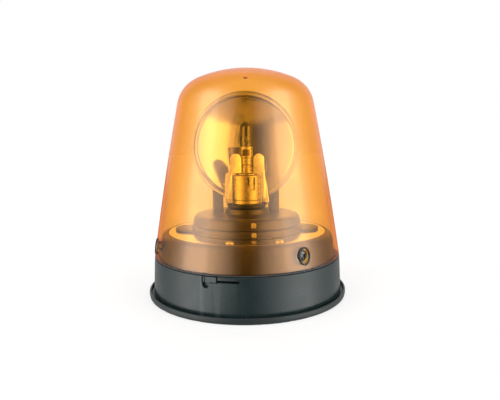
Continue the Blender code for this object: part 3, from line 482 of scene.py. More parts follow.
FINISHES = {
    "black_abs": moulded("black_abs_finish", (0.007, 0.0135, 0.014), 0.3, gloss=0.26),
    "rubber": moulded("rubber_finish", (0.008, 0.012, 0.012), 0.45, grain=900.0, relief=0.00006,
                      gloss=0.25),
    "grey_plastic": moulded("grey_plastic_finish", (0.021, 0.0185, 0.017), 0.33, gloss=0.66),
    "nylon": moulded("nylon_finish", (0.82, 0.79, 0.7), 0.4, variation=0.06),
    "ceramic": moulded("ceramic_finish", (0.78, 0.74, 0.65), 0.5, variation=0.08),
    "board_green": moulded("board_green_finish", (0.03, 0.17, 0.07), 0.4),
    "film_blue": moulded("film_blue_finish", (0.06, 0.11, 0.28), 0.4),
    "chrome": plated("chrome_finish", (0.42, 0.41, 0.39), 0.09, tarnish=0.92, relief=0.000003,
                     metal=0.85),
    "nickel": plated("nickel_finish", (0.5, 0.46, 0.4), 0.28, tarnish=0.9, relief=0.000005,
                     metal=0.62),
    "zinc_steel": plated("zinc_steel_finish", (0.66, 0.67, 0.68), 0.32),
    "brass": plated("brass_finish", (0.78, 0.58, 0.26), 0.28),
    "copper": plated("copper_finish", (0.7, 0.33, 0.15), 0.35),
    "tungsten": plated("tungsten_finish", (0.32, 0.31, 0.3), 0.45),
    "glass": clear_shell("glass_finish", (0.97, 0.98, 0.98), (0.75, 0.78, 0.8), 0.03),
    "amber": clear_shell("amber_finish", (0.962, 0.62, 0.175), (0.83, 0.30, 0.035), 0.07,
                         haze=0.012, haze_colour=(0.98, 0.45, 0.05)),
}
GATE_FINISH = moulded("gate_finish", (0.20, 0.05, 0.01), 0.4)
SCREW_FINISH = plated("dark_screw_finish", (0.10, 0.102, 0.106), 0.38)
# pale finish of the tabs that paint two highlights on the dark plastic
HIGHLIGHT_TAB_FINISH = moulded("highlight_tab_finish", (0.36, 0.33, 0.28), 0.45, variation=0.1)
SPRING_FINISH = plated("spring_finish", (0.97, 0.96, 0.93), 0.5)
DECK_FINISH = plated("deck_finish", (0.86, 0.85, 0.83), 0.16, tarnish=0.9, relief=0.000006)
AMBER_INSIDE = clear_shell("amber_inner_finish", (1.0, 1.0, 1.0), (1.0, 0.97, 0.9), 0.1)


# ---------------------------------------------------------------- base

def make_gasket():
    """Rubber foot ring with a raised lip, and grip grooves under it."""
    outer = reach("mounting_gasket")
    lip = high("mounting_gasket").z
    floor = low("base_housing").z - GAP
    inner = 60.0
    corners = [(inner, 0.0, 0.3)]
    for groove in (72.6, 75.4, 78.2):
        corners += [(groove - 0.6, 0.0, 0.0), (groove, 0.7, 0.2), (groove + 0.6, 0.0, 0.0)]
    corners += [(outer - 0.5, 0.0, 0.45), (outer - 0.05, 2.0, 0.5), (outer, lip - 0.6, 0.5),
                (outer - 0.9, lip, 0.5), (outer - 1.6, lip - 0.4, 0.4), (outer - 1.8, floor, 0.3),
                (inner, floor, 0.3)]
    shape = turned(rounded(corners, 3), LARGE_ROUND)
    holes = [rod(5.0 + GAP, -1.0, floor + 1.0, middle_of(node)) for node in INSERTS]
    shape = combined(shape, holes)
    for vert in shape.verts:
        if vert.co.z < 1.2 and vert.co.xy.length > outer - 1.2:
            rough = noise.noise(vert.co * 0.9)
            vert.co.z += max(0.0, rough) * 0.35
            vert.co.xy *= 1.0 - max(0.0, -rough) * 0.002
    piece("foot_ring", shape, FINISHES["rubber"], "base", ["mounting_gasket"])


def make_base():
    """Tapered housing with the latch's notch, slit and release hole, and a mould seam."""
    bottom = low("base_housing").z
    top = high("base_housing").z
    foot = reach("base_housing")
    rim = 77.9
    wall = 2.6
    floor = bottom + 3.0
    corners = [(12.0, bottom, 0.4), (foot, bottom, 0.7), (rim, top, 0.45), (rim - wall, top, 0.3),
               (foot - wall - 0.2, floor, 0.8), (12.0, floor, 0.3)]
    shape = turned(rounded(corners, 4), LARGE_ROUND)
    stations = []
    for step in range(13):
        share = step / 12
        radius = foot - (foot - rim) * share
        azimuth = -0.2 - 2.6 * share
        half_width = math.degrees(0.25 / foot)
        height = bottom + 0.8 + (27.0 - bottom) * share
        stations.append([(*on_circle(spot, azimuth + turn), height) for spot, turn in
                         ((radius - 0.6, -half_width), (radius + 0.14, -half_width / 2),
                          (radius + 0.14, half_width / 2), (radius - 0.6, half_width))])
    seam = swept(stations)
    cuts = [sector(70.0, 84.0, -24.0, -15.0, 27.2, top + 3.0),
            sector(70.0, 84.0, -16.0, -3.7, 27.6, 29.5),
            radial_rod(2.8, 70.0, 84.0, 26.1, -21.7)]
    cuts += [rod(5.0 + GAP, 0.0, 12.0, middle_of(node)) for node in INSERTS]
    shape = combined(combined(shape, [seam], 'UNION'), cuts)
    piece("base_shell", shape, FINISHES["black_abs"], "base", ["base_housing"])


def make_inserts():
    """Threaded brass inserts with a knurled look from their ridged bore."""
    for number, node in enumerate(INSERTS, start=1):
        bottom, top = low(node).z, high(node).z
        corners = [(3.3, bottom + 0.6, 0.0), (3.9, bottom, 0.2), (5.0, bottom, 0.3),
                   (5.0, top, 0.3), (3.9, top, 0.2), (3.3, top - 0.6, 0.0)]
        thread = []
        turns = 6
        for step in range(turns):
            height = top - 0.6 - (top - bottom - 1.2) * (step + 0.5) / turns
            thread += [(3.2, height + 0.2), (3.65, height)]
        shape = turned(rounded(corners, 3) + thread, SMALL_ROUND)
        x, y = middle_of(node)
        moved(shape, 0.0, (x, y, 0.0))
        piece("threaded_insert_%d" % number, shape, FINISHES["brass"], "base", [node])


def make_grommet():
    """Rubber cable seal with a groove that holds it in the floor of the base."""
    bottom = low("cable_grommet").z
    top = high("cable_grommet").z
    neck = bottom + 3.3
    corners = [(4.0, bottom, 0.5), (11.7, bottom, 0.6), (11.7, neck, 0.2), (15.0, neck, 0.4),
               (15.0, neck + 1.6, 0.5), (8.6, top - 0.4, 0.8), (7.6, top, 0.6), (4.0, top, 0.8)]
    piece("cable_seal", turned(rounded(corners, 4), MEDIUM_ROUND), FINISHES["rubber"], "base",
          ["cable_grommet"])


# ---------------------------------------------------------------- head

def dome_outline(inset):
    """Outer or inner line of the dome's wall, from its foot to the top."""
    foot_z, top = low("dome_lens").z, high("dome_lens").z
    foot_r = reach("dome_lens")
    shoulder = DOME_SHOULDER_RADIUS

    def radius_at(height):
        rise = height - foot_z
        return foot_r - DOME_SLOPE * rise - DOME_CURVE * rise * rise

    lean = math.atan(DOME_SLOPE + 2 * DOME_CURVE * (DOME_SHOULDER_HEIGHT - foot_z))
    centre_r = radius_at(DOME_SHOULDER_HEIGHT) - shoulder * math.cos(lean)
    centre_z = DOME_SHOULDER_HEIGHT - shoulder * math.sin(lean)
    rise = top - centre_z
    cap = (centre_r ** 2 + rise ** 2 - shoulder ** 2) / (2 * (rise - shoulder))
    cap_z = top - cap
    meeting = math.atan2(centre_z - cap_z, centre_r)
    points = []
    for step in range(24):
        height = foot_z + (DOME_SHOULDER_HEIGHT - foot_z) * step / 24
        points.append((radius_at(height) - inset, height))
    for step in range(20):
        angle = lean + (meeting - lean) * step / 20
        points.append((centre_r + (shoulder - inset) * math.cos(angle),
                       centre_z + (shoulder - inset) * math.sin(angle)))
    for step in range(16):
        angle = meeting + (math.pi / 2 - meeting) * step / 16
        points.append(((cap - inset) * math.cos(angle), cap_z + (cap - inset) * math.sin(angle)))
    return points


def make_dome():
    """One amber shell with a gate mark under its top and rounded screw holes."""
    outer = dome_outline(0.0)
    inner = dome_outline(DOME_WALL)
    top = high("dome_lens").z
    under = top - DOME_WALL
    gate = [(2.6, under), (1.6, under - 0.5), (1.3, under - 2.6), (0.9, under - 3.1),
            (0.0, under - 3.2)]
    line = outer + [(0.0, top)] + list(reversed([point for point in inner if point[0] > 2.8]))
    foot_r, foot_z = outer[0]
    line[0] = (foot_r, foot_z + 0.4)
    line = ([(foot_r - 0.4, foot_z)] + line[:len(outer) + 1] + list(reversed(gate))
            + line[len(outer) + 1:])
    shape = turned(line, LARGE_ROUND)
    holes = [radial_rod(SEAT_RADIUS, 60.0, 90.0, middle_height(node), azimuth_of(node), 48)
             for node in DOME_SCREWS]
    shape = combined(shape, holes)
    dome = piece("dome_shell", shape, FINISHES["amber"], "head", ["dome_lens"])
    dome.data.materials.append(AMBER_INSIDE)
    middle = Vector((0.0, 0.0, DOME_CENTRE_HEIGHT * MM))
    for face in dome.data.polygons:
        faces_in = face.normal.dot(face.center - middle) < 0.0
        face.material_index = 1 if faces_in else 0
    stub = rounded([(0.0, under - 4.6, 0.0), (1.5, under - 4.6, 0.5), (1.9, under - 3.5, 0.3),
                    (0.0, under - 3.5, 0.0)], 3)
    piece("gate_stub", turned(stub, SMALL_ROUND), GATE_FINISH, "head", [])


def cross_recess(half_width, reach_out, floor, top):
    """A four-armed recess that narrows downwards, standing on Z."""
    arms = []
    for turn in (0.0, 90.0):
        arm = block((-reach_out, -half_width, floor), (reach_out, half_width, top + 1.0))
        for vert in arm.verts:
            if vert.co.z < floor + 0.01:
                vert.co.x *= 0.55
        arms.append(moved(arm, turn))
    return arms


def oval_ring(sides=64):
    """A domed oval washer that faces -Y, round the origin."""
    shape = bmesh.new()
    rings = []
    for wide, tall, proud in WASHER_RINGS:
        ring = []
        for side in range(sides):
            angle = math.tau * side / sides
            ring.append(shape.verts.new((wide * math.cos(angle), -proud, tall * math.sin(angle))))
        rings.append(ring)
    for first, second in zip(rings, rings[1:] + rings[:1]):
        for side in range(sides):
            ahead = (side + 1) % sides
            shape.faces.new((first[side], first[ahead], second[ahead], second[side]))
    return shape


def make_dome_screws():
    """Cross-head screws that stand inwards through the skirt, each with its oval washer."""
    outer = 75.8
    for number, node in enumerate(DOME_SCREWS, start=1):
        height = middle_height(node)
        azimuth = azimuth_of(node)
        corners = [(0.0, 63.0, 0.0), (1.0, 63.0, 0.0), (1.4, 64.0, 0.0), (1.4, 72.6, 0.1),
                   (3.9, 72.6, 0.2), (3.9, outer - 1.3, 0.5), (2.3, outer, 1.2), (0.0, outer, 0.0)]
        shape = turned(rounded(corners, 5), 48)
        shape = combined(shape, cross_recess(0.7, 2.7, outer - 1.7, outer))
        moved(shape, 45.0 if number == 1 else 20.0)
        upright(shape)
        moved(shape, 0.0, (0.0, 0.0, height))
        piece("skirt_screw_%d" % number, shape, SCREW_FINISH, "head", [node], azimuth)
        ring = oval_ring()
        bmesh.ops.rotate(ring, cent=(0, 0, 0), matrix=Matrix.Rotation(WASHER_LEAN, 3, 'X'),
                         verts=ring.verts)
        moved(ring, 0.0, (0.0, -WASHER_PLACE, height))
        piece("skirt_washer_%d" % number, ring, FINISHES["rubber"], "head", [], azimuth)


def make_deck_screws():
    """Cross-head screws that hold the deck to the collar."""
    for number, node in enumerate(DECK_SCREWS, start=1):
        deck = high("deck_plate").z
        top = high(node).z
        corners = [(0.0, low(node).z, 0.0), (1.5, low(node).z, 0.3), (1.5, deck + GAP, 0.0),
                   (3.0, deck + GAP, 0.2), (3.0, deck + 1.4, 0.3), (2.0, top, 0.9), (0.0, top, 0.0)]
        shape = turned(rounded(corners, 4), SMALL_ROUND)
        shape = combined(shape, cross_recess(0.4, 1.5, top - 1.0, top))
        x, y = middle_of(node)
        moved(shape, 25.0 * number, (x, y, 0.0))
        piece("plate_screw_%d" % number, shape, FINISHES["zinc_steel"], "head", [node])


def make_collar():
    """Inner collar that carries the dome, with its lugs and screw seats."""
    top = high("collar").z
    base_top = high("base_housing").z
    corners = [(71.2, LUG_BOTTOM, 0.3), (71.2, 29.4, 0.2), (75.0, 29.4, 0.3), (75.0, base_top, 0.3),
               (74.0, base_top, 0.1), (73.8, 33.4, 0.3), (72.1, 46.4, 1.6), (70.7, 50.6, 1.5),
               (67.6, top, 0.9), (66.3, top, 0.2), (66.3, 49.7, 0.1), (60.0, 49.7, 0.3),
               (60.0, 47.5, 0.3), (68.6, 38.0, 0.5), (69.0, LUG_BOTTOM, 0.3)]
    shape = turned(rounded(corners, 6), LARGE_ROUND)
    height = middle_height(DOME_SCREWS[0])
    lugs = [sector(70.0, 75.6, azimuth - LUG_HALF_WIDTH, azimuth + LUG_HALF_WIDTH,
                   LUG_BOTTOM, LUG_TOP) for azimuth in LUG_AZIMUTHS]
    shape = combined(shape, lugs, 'UNION')
    cuts = [radial_rod(1.8, 60.0, 80.0, height, azimuth_of(node)) for node in DOME_SCREWS]
    cuts += [rod(1.9, 44.0, 50.5, middle_of(node)) for node in DECK_SCREWS]
    cuts += [radial_rod(SEAT_RADIUS, 72.2, 80.0, height, azimuth_of(node)) for node in DOME_SCREWS]
    cuts.append(sector(71.35, 78.0, -37.0, -13.0, 28.0, base_top + 0.15))
    shape = combined(shape, cuts)
    piece("inner_collar", shape, FINISHES["grey_plastic"], "head", ["collar"])


def make_deck():
    """Deck disc with holes for its screws, the wheel and the motor."""
    top, bottom = high("deck_plate").z, low("deck_plate").z
    radius = reach("deck_plate")
    corners = [(10.3, bottom, 0.2), (radius, bottom, 0.2), (radius, top, 0.3), (10.3, top, 0.2)]
    shape = turned(rounded(corners, 3), DECK_ROUND)
    wheel = joint_place("intermediate_spin")
    motor = joint_place("pinion_spin")
    cuts = [rod(1.8, bottom - 1, top + 1, middle_of(node)) for node in DECK_SCREWS]
    cuts += [rod(1.8, bottom - 1, top + 1, wheel), rod(5.3, bottom - 1, top + 1, motor)]
    cuts += [rod(1.6, bottom - 1, top + 1, (motor[0], motor[1] + shift)) for shift in (-8.5, 8.5)]
    piece("deck_disc", combined(shape, cuts), DECK_FINISH, "head", ["deck_plate"])


def make_gear_cover():
    """Raised cover of the gears with a rounded wing on each side."""
    bottom, top = low("gear_cover").z, high("gear_cover").z
    corners = [(45.0, bottom, 0.2), (47.0, bottom, 0.3), (46.4, top - 1.0, 0.5), (45.4, top, 0.5),
               (31.0, top, 0.3), (31.0, top - 1.2, 0.2), (44.3, top - 1.2, 0.4)]
    shape = turned(rounded(corners, 4), LARGE_ROUND)
    wings = []
    for side in (-1.0, 1.0):
        root = side * 42.0
        tip = high("gear_cover").x
        half = 15.6
        line = [(root, -half)]
        for step in range(25):
            angle = math.pi * (step / 24 - 0.5)
            line.append((side * (tip - half + half * math.cos(angle)), half * math.sin(angle)))
        line.append((root, half))
        wings.append(softened(prism(line, bottom, bottom + 1.7), 0.35, 50.0))
    shape = combined(shape, wings, 'UNION')
    shape = combined(shape, [rod(44.35, bottom - 2.0, top - 1.25, sides=LARGE_ROUND)])
    piece("gear_housing", shape, FINISHES["grey_plastic"], "head", ["gear_cover"])


# ---------------------------------------------------------------- rotor

def make_turntable():
    """Turntable with a rounded shoulder and a skirt over the gear cover."""
    bottom = low("turntable").z
    top = high("turntable").z
    outer = reach("turntable")
    flat = low("reflector_post_left").z - GAP
    corners = [(10.3, bottom + 1.0, 0.2), (13.0, bottom + 1.0, 0.2), (13.0, flat - 2.6, 0.4),
               (41.6, flat - 2.6, 0.5), (43.2, bottom, 0.2), (outer, bottom, 0.3),
               (outer - 0.9, flat - 3.4, 0.8), (43.6, flat - 1.0, 0.8), (41.8, flat, 0.9),
               (18.5, flat, 0.8), (17.5, top, 0.6), (10.3, top, 0.3)]
    piece("turntable_disc", turned(rounded(corners, 5), LARGE_ROUND), FINISHES["grey_plastic"],
          "rotor", ["turntable"])


def bowl_depth(radius):
    return radius * radius / (4 * FOCAL_LENGTH)


def bowl_line(depth, steps):
    """Line that runs a depth behind the mirrored face, from the middle to the edge."""
    line = []
    for step in range(steps + 1):
        radius = BOWL_EDGE * step / steps
        steep = math.atan(radius / (2 * FOCAL_LENGTH))
        line.append((radius + depth * math.sin(steep), bowl_depth(radius) - depth * math.cos(steep)))
    return line


def make_reflector():
    """Mirror bowl with a stepped and rolled rim and a slot for the lamp holder."""
    inner = bowl_line(0.0, 40)
    outer = bowl_line(BOWL_SHEET, 40)
    edge = bowl_depth(BOWL_EDGE)
    rim = BOWL_RIM
    roll = rounded([(BOWL_EDGE + 0.5, edge + 0.95, 0.0), (BOWL_EDGE + 1.3, edge + 0.15, 0.3),
                    (rim - 1.5, edge + 0.15, 0.4), (rim - 0.7, edge + 0.95, 0.4),
                    (rim, edge + 0.3, 0.4), (rim, edge - 1.9, 0.3), (rim - 0.8, edge - 1.9, 0.2),
                    (rim - 0.9, edge - 0.75, 0.4), (BOWL_EDGE + 1.6, edge - 0.75, 0.0)], 4)
    outline = inner + roll + list(reversed(outer))
    shape = upright(turned(outline, LARGE_ROUND))
    moved(shape, 0.0, (0.0, BOWL_BACK, BOWL_HEIGHT))
    slot = rounded([(-19.8, 60.0, 0.0), (19.8, 60.0, 0.0), (19.6, 78.0, 4.0), (17.2, 100.4, 3.4),
                    (-17.2, 100.4, 3.4), (-19.6, 78.0, 4.0)], 6)
    shape = combined(shape, [side_prism(slot, -60.0, 30.0)])
    piece("mirror_bowl", shape, FINISHES["chrome"], "rotor", ["reflector_dish"], ROTOR_TURN)


def make_posts():
    """Two moulded posts whose saddles hold the back of the bowl."""
    for name, side in (("left", -1), ("right", 1)):
        node = "reflector_post_" + name
        near, far = sorted((side * POST_NEAR, side * POST_FAR))
        outline = rounded([(near, POST_FRONT, 1.0), (far, POST_FRONT, 1.0), (far, POST_BACK, 1.0),
                           (near, POST_BACK, 1.0)], 4)
        shape = prism(outline, low(node).z, POST_TOP)
        wall = bowl_line(SADDLE_DEPTH, 30)
        edge = bowl_depth(BOWL_EDGE)
        side_line = wall[-1][0]
        saddle = wall + [(side_line + 0.8, edge - 2.4), (side_line + 8.0, edge - 2.4),
                         (side_line + 8.0, 80.0), (0.0, 80.0)]
        cutter = upright(turned(saddle, MEDIUM_ROUND))
        moved(cutter, 0.0, (0.0, BOWL_BACK, BOWL_HEIGHT))
        shape = combined(shape, [cutter])
        piece("bowl_post_" + name, shape, FINISHES["grey_plastic"], "rotor",
              [node], ROTOR_TURN)


def make_socket():
    """Black holder base with two lugs, and the metal sleeve with its lanced tongue."""
    base_bottom, base_top = low("socket_base").z, 74.2
    corners = [(3.6, base_bottom, 0.2), (15.6, base_bottom, 0.3), (16.2, base_bottom + 0.9, 0.4),
               (16.2, base_top - 0.6, 0.5), (15.5, base_top, 0.4), (3.6, base_top, 0.2)]
    shape = turned(rounded(corners, 4), MEDIUM_ROUND)
    lugs = []
    for side in (-1, 1):
        near, far = sorted((side * 13.13, side * 16.94))
        lugs.append(block((near, -3.77, base_top - 1.37), (far, -1.81, 79.4)))
    shape = combined(shape, lugs, 'UNION')
    pivot = joint("clip_left_open")["pos_m"][2] / MM
    pins = [side_prism(circle(1.0, (side * PIN_OFFSET, pivot), 20), -12.0, 6.0) for side in (-1, 1)]
    shape = combined(shape, pins)
    piece("holder_base", shape, FINISHES["black_abs"], "rotor", ["socket_base"],
          ROTOR_TURN)
    bottom, top = low("lamp_socket").z, high("lamp_socket").z
    corners = [(11.4, bottom, 0.2), (12.5, bottom, 0.3), (12.5, bottom + 1.6, 0.2),
               (12.15, bottom + 2.1, 0.2), (12.15, bottom + 2.9, 0.2), (12.5, bottom + 3.4, 0.2),
               (12.5, top, 0.7), (9.6, top, 0.2), (9.6, top - 0.9, 0.1), (11.4, top - 0.9, 0.3)]
    shape = turned(rounded(corners, 4), MEDIUM_ROUND)
    lance = rounded([(-3.2, 85.9, 1.5), (3.2, 85.9, 1.5), (3.2, 97.0, 0.3), (1.8, 97.0, 0.3),
                     (1.8, 87.6, 0.6), (-1.8, 87.6, 0.6), (-1.8, 97.0, 0.3), (-3.2, 97.0, 0.3)], 4)
    cutter = moved(upright(prism(lance, 9.0, 14.0)), 8.5)
    piece("socket_sleeve", combined(shape, [cutter]), FINISHES["nickel"], "rotor",
          ["lamp_socket"], ROTOR_TURN)


def make_bulb():
    """Capsule bulb: flange, pressed base, windowed collar and a clear tube with a tip."""
    flange = [(0.0, 93.6, 0.0), (6.5, 93.6, 0.3), (6.5, 98.6, 0.3), (9.2, 98.6, 0.3),
              (9.2, 99.6, 0.4), (6.6, 99.6, 0.3), (6.0, 99.1, 0.2), (0.0, 99.1, 0.0)]
    piece("bulb_seat", turned(rounded(flange, 3), MEDIUM_ROUND), FINISHES["nickel"], "rotor",
          ["bulb_flange"], ROTOR_TURN)
    neck = [(0.0, 99.9, 0.0), (5.2, 99.9, 0.3), (5.2, 104.4, 0.3), (4.5, 105.2, 0.4), (4.5, 106.4, 0.4),
            (5.2, 107.2, 0.3), (5.2, 112.4, 0.4), (0.0, 112.4, 0.0)]
    shape = turned(rounded(neck, 4), 64)
    dimples = []
    for azimuth in (-52.0, -18.0, 20.0, 56.0, 150.0, 210.0):
        for height in (102.4, 109.6):
            dimples.append(radial_rod(0.9, 4.6, 6.0, height, azimuth, 16))
    piece("bulb_neck", combined(shape, dimples), FINISHES["nickel"], "rotor", ["bulb_base"],
          ROTOR_TURN)
    frame_shape = turned(rounded([(4.7, 112.7, 0.2), (5.6, 112.7, 0.4), (5.6, 122.0, 0.4),
                                  (4.7, 122.0, 0.2)], 3), 64)
    window = block((-3.1, -7.0, 114.3), (3.1, 7.0, 119.8))
    moved(window, -ROTOR_TURN)
    piece("bulb_frame", combined(frame_shape, [window]), FINISHES["nickel"], "rotor",
          ["bulb_collar"], ROTOR_TURN)
    tip = high("bulb_glass").z
    outer_r = 5.2
    inner_r = 4.3
    centre = tip - outer_r - 0.7
    line = [(inner_r, 122.3), (outer_r, 122.3)]
    for step in range(13):
        angle = math.pi / 2 * step / 13
        line.append((outer_r * math.cos(angle), centre + outer_r * math.sin(angle)))
    line += [(1.2, centre + outer_r + 0.05), (0.7, tip - 0.15), (0.0, tip)]
    for step in range(13, -1, -1):
        angle = math.pi / 2 * step / 13
        line.append((inner_r * math.cos(angle), centre + inner_r * math.sin(angle)))
    piece("bulb_tube", turned(line, 64), FINISHES["glass"], "rotor", ["bulb_glass"], ROTOR_TURN)


def make_clips():
    """Two pressed spring clips with round ears that hold the bulb's flange down."""
    for name, side in (("left", -1), ("right", 1)):
        pivot_height = joint("clip_%s_open" % name)["pos_m"][2] / MM
        ear_middle = 9.8
        ear_half = 4.6
        ear_top = 116.2
        neck = 99.0
        foot = 75.2
        outer = 14.8
        inner = 13.0
        corners = [(inner, foot, 0.3), (18.4, foot, 0.5), (18.4, foot + 1.6, 0.5),
                   (outer, neck - 1.5, 2.0), (outer, neck + 3.4, 0.8),
                   (ear_middle + ear_half, neck + 4.0, 0.4)]
        line = rounded(corners, 4)
        for step in range(25):
            angle = math.pi * step / 24
            line.append((ear_middle + ear_half * math.cos(angle),
                         ear_top - ear_half + ear_half * math.sin(angle)))
        line += rounded([(ear_middle - ear_half, ear_top - ear_half, 0.0),
                         (ear_middle - ear_half, neck + 1.3, 0.5), (inner, neck + 1.3, 0.5),
                         (inner, foot, 0.0)], 3)[1:-1]
        line = [(side * x, z) for x, z in line]
        shape = side_prism(line, CLIP_FRONT, CLIP_BACK)
        hole = side_prism(circle(1.1, (side * PIN_OFFSET, pivot_height), 24), -8.0, 0.0)
        shape = combined(shape, [hole])
        softened(shape, 0.18, 50.0)
        piece("spring_clip_" + name, shape, SPRING_FINISH, "clip_" + name,
              ["bulb_clip_" + name], ROTOR_TURN)


def make_highlight_tabs():
    """Painted highlights: two small pale tabs, one on the turning skirt and one on the fixed cover below it, stand
    in for two glints of light on the glossy dark plastic.
    """
    for name, body, tab in (
            ("highlight_tab_turning", "rotor", block((-2.0, -45.6, 60.2), (2.0, -43.6, 64.2))),
            ("highlight_tab_fixed", "head", block((-1.9, -47.2, 53.2), (1.9, -45.2, 57.0)))):
        piece(name, softened(tab, 0.9, 40.0, 4), HIGHLIGHT_TAB_FINISH, body, [], HIGHLIGHT_TAB_AZIMUTH)


# ---------------------------------------------------------------- carried-over nodes

EDGE_WIDTHS = {"latch_tongue": 0.3, "terminal_block": 0.5, "brush_holder": 0.25,
               "suppressor_capacitor": 0.6, "socket_insulator": 0.25}


def dress_cad_nodes():
    """Give every CAD node the finish that the record names for it, and soften some edges."""
    slots = {entry["node"]: entry["material_slot"] for entry in frame["record"]["subparts"]}
    for node, made in frame["nodes"].items():
        finish = FINISHES[slots[node]]
        if not made.data.materials:
            made.data.materials.append(finish)
        for index in range(len(made.material_slots)):
            made.material_slots[index].link = 'OBJECT'
            made.material_slots[index].material = finish
    for node, width in EDGE_WIDTHS.items():
        edge = frame["nodes"][node].modifiers.new("edges", 'BEVEL')
        edge.width = width * MM
        edge.segments = 3
        edge.limit_method = 'ANGLE'
        edge.angle_limit = math.radians(50.0)
        edge.use_clamp_overlap = True


# ---------------------------------------------------------------- studio

def make_camera():
    """Camera in front of the lamp and a little above its middle, looking slightly down."""
    place = Vector((0.00287, -0.369, 0.119))
    pitch = 0.1136
    roll = -0.0097
    data = bpy.data.cameras.new("camera")
    data.lens = 31.4
    data.sensor_width = 36.0
    data.clip_start = 0.01
    data.clip_end = 50.0
    camera = bpy.data.objects.new("camera", data)
    bpy.context.scene.collection.objects.link(camera)
    tilt = Matrix.Rotation(math.pi / 2 - pitch, 4, 'X')
    camera.matrix_world = Matrix.Translation(place) @ tilt @ Matrix.Rotation(roll, 4, 'Z')
    bpy.context.scene.camera = camera


def make_floor():
    """Pale floor; its own faint glow brings it to the brightness of the backdrop."""
    half = 12.0
    shape = bmesh.new()
    ways = ((-1, -1), (1, -1), (1, 1), (-1, 1))
    shape.faces.new([shape.verts.new((x * half, y * half, -0.0002)) for x, y in ways])
    mesh = bpy.data.meshes.new("floor")
    shape.to_mesh(mesh)
    shape.free()
    made = Finish("floor_finish")
    made.shader.inputs["Roughness"].default_value = 0.9
    made.join(made.mixed(made.noise(3.0, 3.0), (0.14, 0.14, 0.14), (0.15, 0.15, 0.15)),
              made.shader.inputs["Base Color"])
    made.shader.inputs["Emission Color"].default_value = (1, 1, 1, 1)
    made.shader.inputs["Emission Strength"].default_value = 0.7
    mesh.materials.append(made.material)
    floor = bpy.data.objects.new("floor", mesh)
    bpy.context.scene.collection.objects.link(floor)
    floor.visible_glossy = False


def ramp(tree, value, stops):
    """A smooth curve of a value from 0 to 1; stops are (place, brightness)."""
    node = tree.nodes.new("ShaderNodeFloatCurve")
    stops = sorted(stops)
    highest = max(brightness for place, brightness in stops)
    curve = node.mapping.curves[0]
    curve.points[0].location = (stops[0][0], stops[0][1] / highest)
    curve.points[1].location = (stops[-1][0], stops[-1][1] / highest)
    for place, brightness in stops[1:-1]:
        curve.points.new(place, brightness / highest)
    for point in curve.points:
        point.handle_type = 'AUTO_CLAMPED'
    node.mapping.update()
    tree.links.new(value, node.inputs["Value"])
    scale = tree.nodes.new("ShaderNodeMath")
    scale.operation = 'MULTIPLY'
    scale.inputs[1].default_value = highest
    tree.links.new(node.outputs["Value"], scale.inputs[0])
    return scale.outputs["Value"]


# Brightness of the two tall light banks, by degrees to either side of the front.
BANK_AROUND = [(0, 0.03), (10, 0.25), (18, 1.0), (30, 2.3), (45, 4.0), (55, 5.6), (70, 5.6),
               (80, 4.2), (88, 2.6), (98, 1.6), (114, 0.8), (135, 0.6), (180, 0.4)]
# How much of the banks shows, and how bright the room is, by degrees above the horizon.
BANK_RISE = [(-90, 0.0), (-50, 0.0), (-36, 0.15), (-29, 0.7), (-22, 1.05), (-10, 1.0), (25, 1.0),
             (42, 0.6), (56, 0.15), (75, 0.0), (90, 0.0)]
ROOM_RISE = [(-90, 1.1), (-45, 1.1), (-32, 0.4), (-24, 0.02), (28, 0.02), (48, 0.5), (70, 0.9),
             (90, 0.9)]
# A panel behind the lamp: by share of a turn from the back, and by share of the way up.
PANEL_AROUND = [(0.0, 1.0), (0.1, 0.9), (0.2, 0.0), (0.5, 0.0), (0.8, 0.0), (0.9, 0.9), (1.0, 1.0)]
PANEL_RISE = [(0.0, 0.0), (0.49, 0.0), (0.52, 1.0), (0.75, 1.0), (0.85, 0.2), (1.0, 0.0)]


def by_height(profile):
    """Change degrees above the horizon into a share of the way up."""
    return [(0.5 + angle / 180.0, brightness) for angle, brightness in profile]


def both_sides(profile):
    """Change degrees from the front into shares of a turn, mirrored left and right."""
    left = [(0.5 - angle / 360.0, brightness) for angle, brightness in profile]
    return left + [(0.5 + angle / 360.0, brightness) for angle, brightness in profile[1:]]


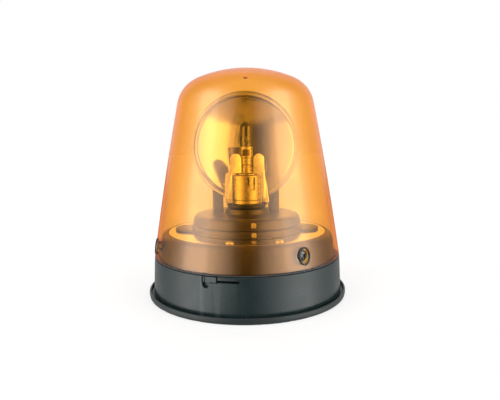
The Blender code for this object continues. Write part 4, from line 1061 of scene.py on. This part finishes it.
def make_light():
    """A soft studio: two tall light banks, a lit room, a panel behind and a light overhead."""
    world = bpy.data.worlds.new("studio")
    bpy.context.scene.world = world
    world.use_nodes = True
    tree = world.node_tree
    tree.nodes.clear()
    place = tree.nodes.new("ShaderNodeTexCoord").outputs["Generated"]
    split = tree.nodes.new("ShaderNodeSeparateXYZ")
    tree.links.new(place, split.inputs[0])

    def maths(operation, first, second=0.0):
        node = tree.nodes.new("ShaderNodeMath")
        node.operation = operation
        for socket, value in zip(node.inputs, (first, second)):
            if isinstance(value, float):
                socket.default_value = value
            else:
                tree.links.new(value, socket)
        return node.outputs["Value"]

    def background(strength, colour):
        node = tree.nodes.new("ShaderNodeBackground")
        node.inputs["Color"].default_value = (*colour, 1.0)
        if isinstance(strength, float):
            node.inputs["Strength"].default_value = strength
        else:
            tree.links.new(strength, node.inputs["Strength"])
        return node.outputs["Background"]

    forward = maths('MULTIPLY', split.outputs["Y"], -1.0)
    turn = maths('ARCTAN2', split.outputs["X"], forward)
    around = maths('ADD', maths('DIVIDE', turn, math.tau), 0.5)
    rise = maths('ADD', maths('DIVIDE', maths('ARCSINE', split.outputs["Z"]), math.pi), 0.5)
    banks = maths('MULTIPLY', ramp(tree, around, both_sides(BANK_AROUND)),
                  ramp(tree, rise, by_height(BANK_RISE)))
    panel = maths('MULTIPLY', ramp(tree, around, PANEL_AROUND), ramp(tree, rise, PANEL_RISE))
    lit = maths('ADD', banks, ramp(tree, rise, by_height(ROOM_RISE)))
    studio = background(maths('ADD', lit, panel), (1.0, 0.99, 0.97))
    backdrop = background(1.0, (1.0, 1.0, 1.0))
    mix = tree.nodes.new("ShaderNodeMixShader")
    seen = tree.nodes.new("ShaderNodeLightPath").outputs["Is Camera Ray"]
    tree.links.new(seen, mix.inputs["Fac"])
    tree.links.new(studio, mix.inputs[1])
    tree.links.new(backdrop, mix.inputs[2])
    output = tree.nodes.new("ShaderNodeOutputWorld")
    tree.links.new(mix.outputs["Shader"], output.inputs["Surface"])
    area = bpy.data.lights.new("overhead", 'AREA')
    area.shape = 'RECTANGLE'
    area.size = 1.6
    area.size_y = 1.2
    area.energy = 14.0
    lamp = bpy.data.objects.new("overhead", area)
    bpy.context.scene.collection.objects.link(lamp)
    lamp.location = (0.0, -0.2, 1.6)
    lamp.visible_glossy = False
    bpy.context.scene.view_settings.view_transform = 'Standard'


# ---------------------------------------------------------------- assembly

make_camera()
make_floor()
make_light()
dress_cad_nodes()
make_gasket()
make_base()
make_inserts()
make_grommet()
make_collar()
make_deck()
make_deck_screws()
make_dome_screws()
make_gear_cover()
make_turntable()
# pale tabs that paint two highlights
make_highlight_tabs()
make_reflector()
make_posts()
make_socket()
make_bulb()
make_clips()
make_dome()
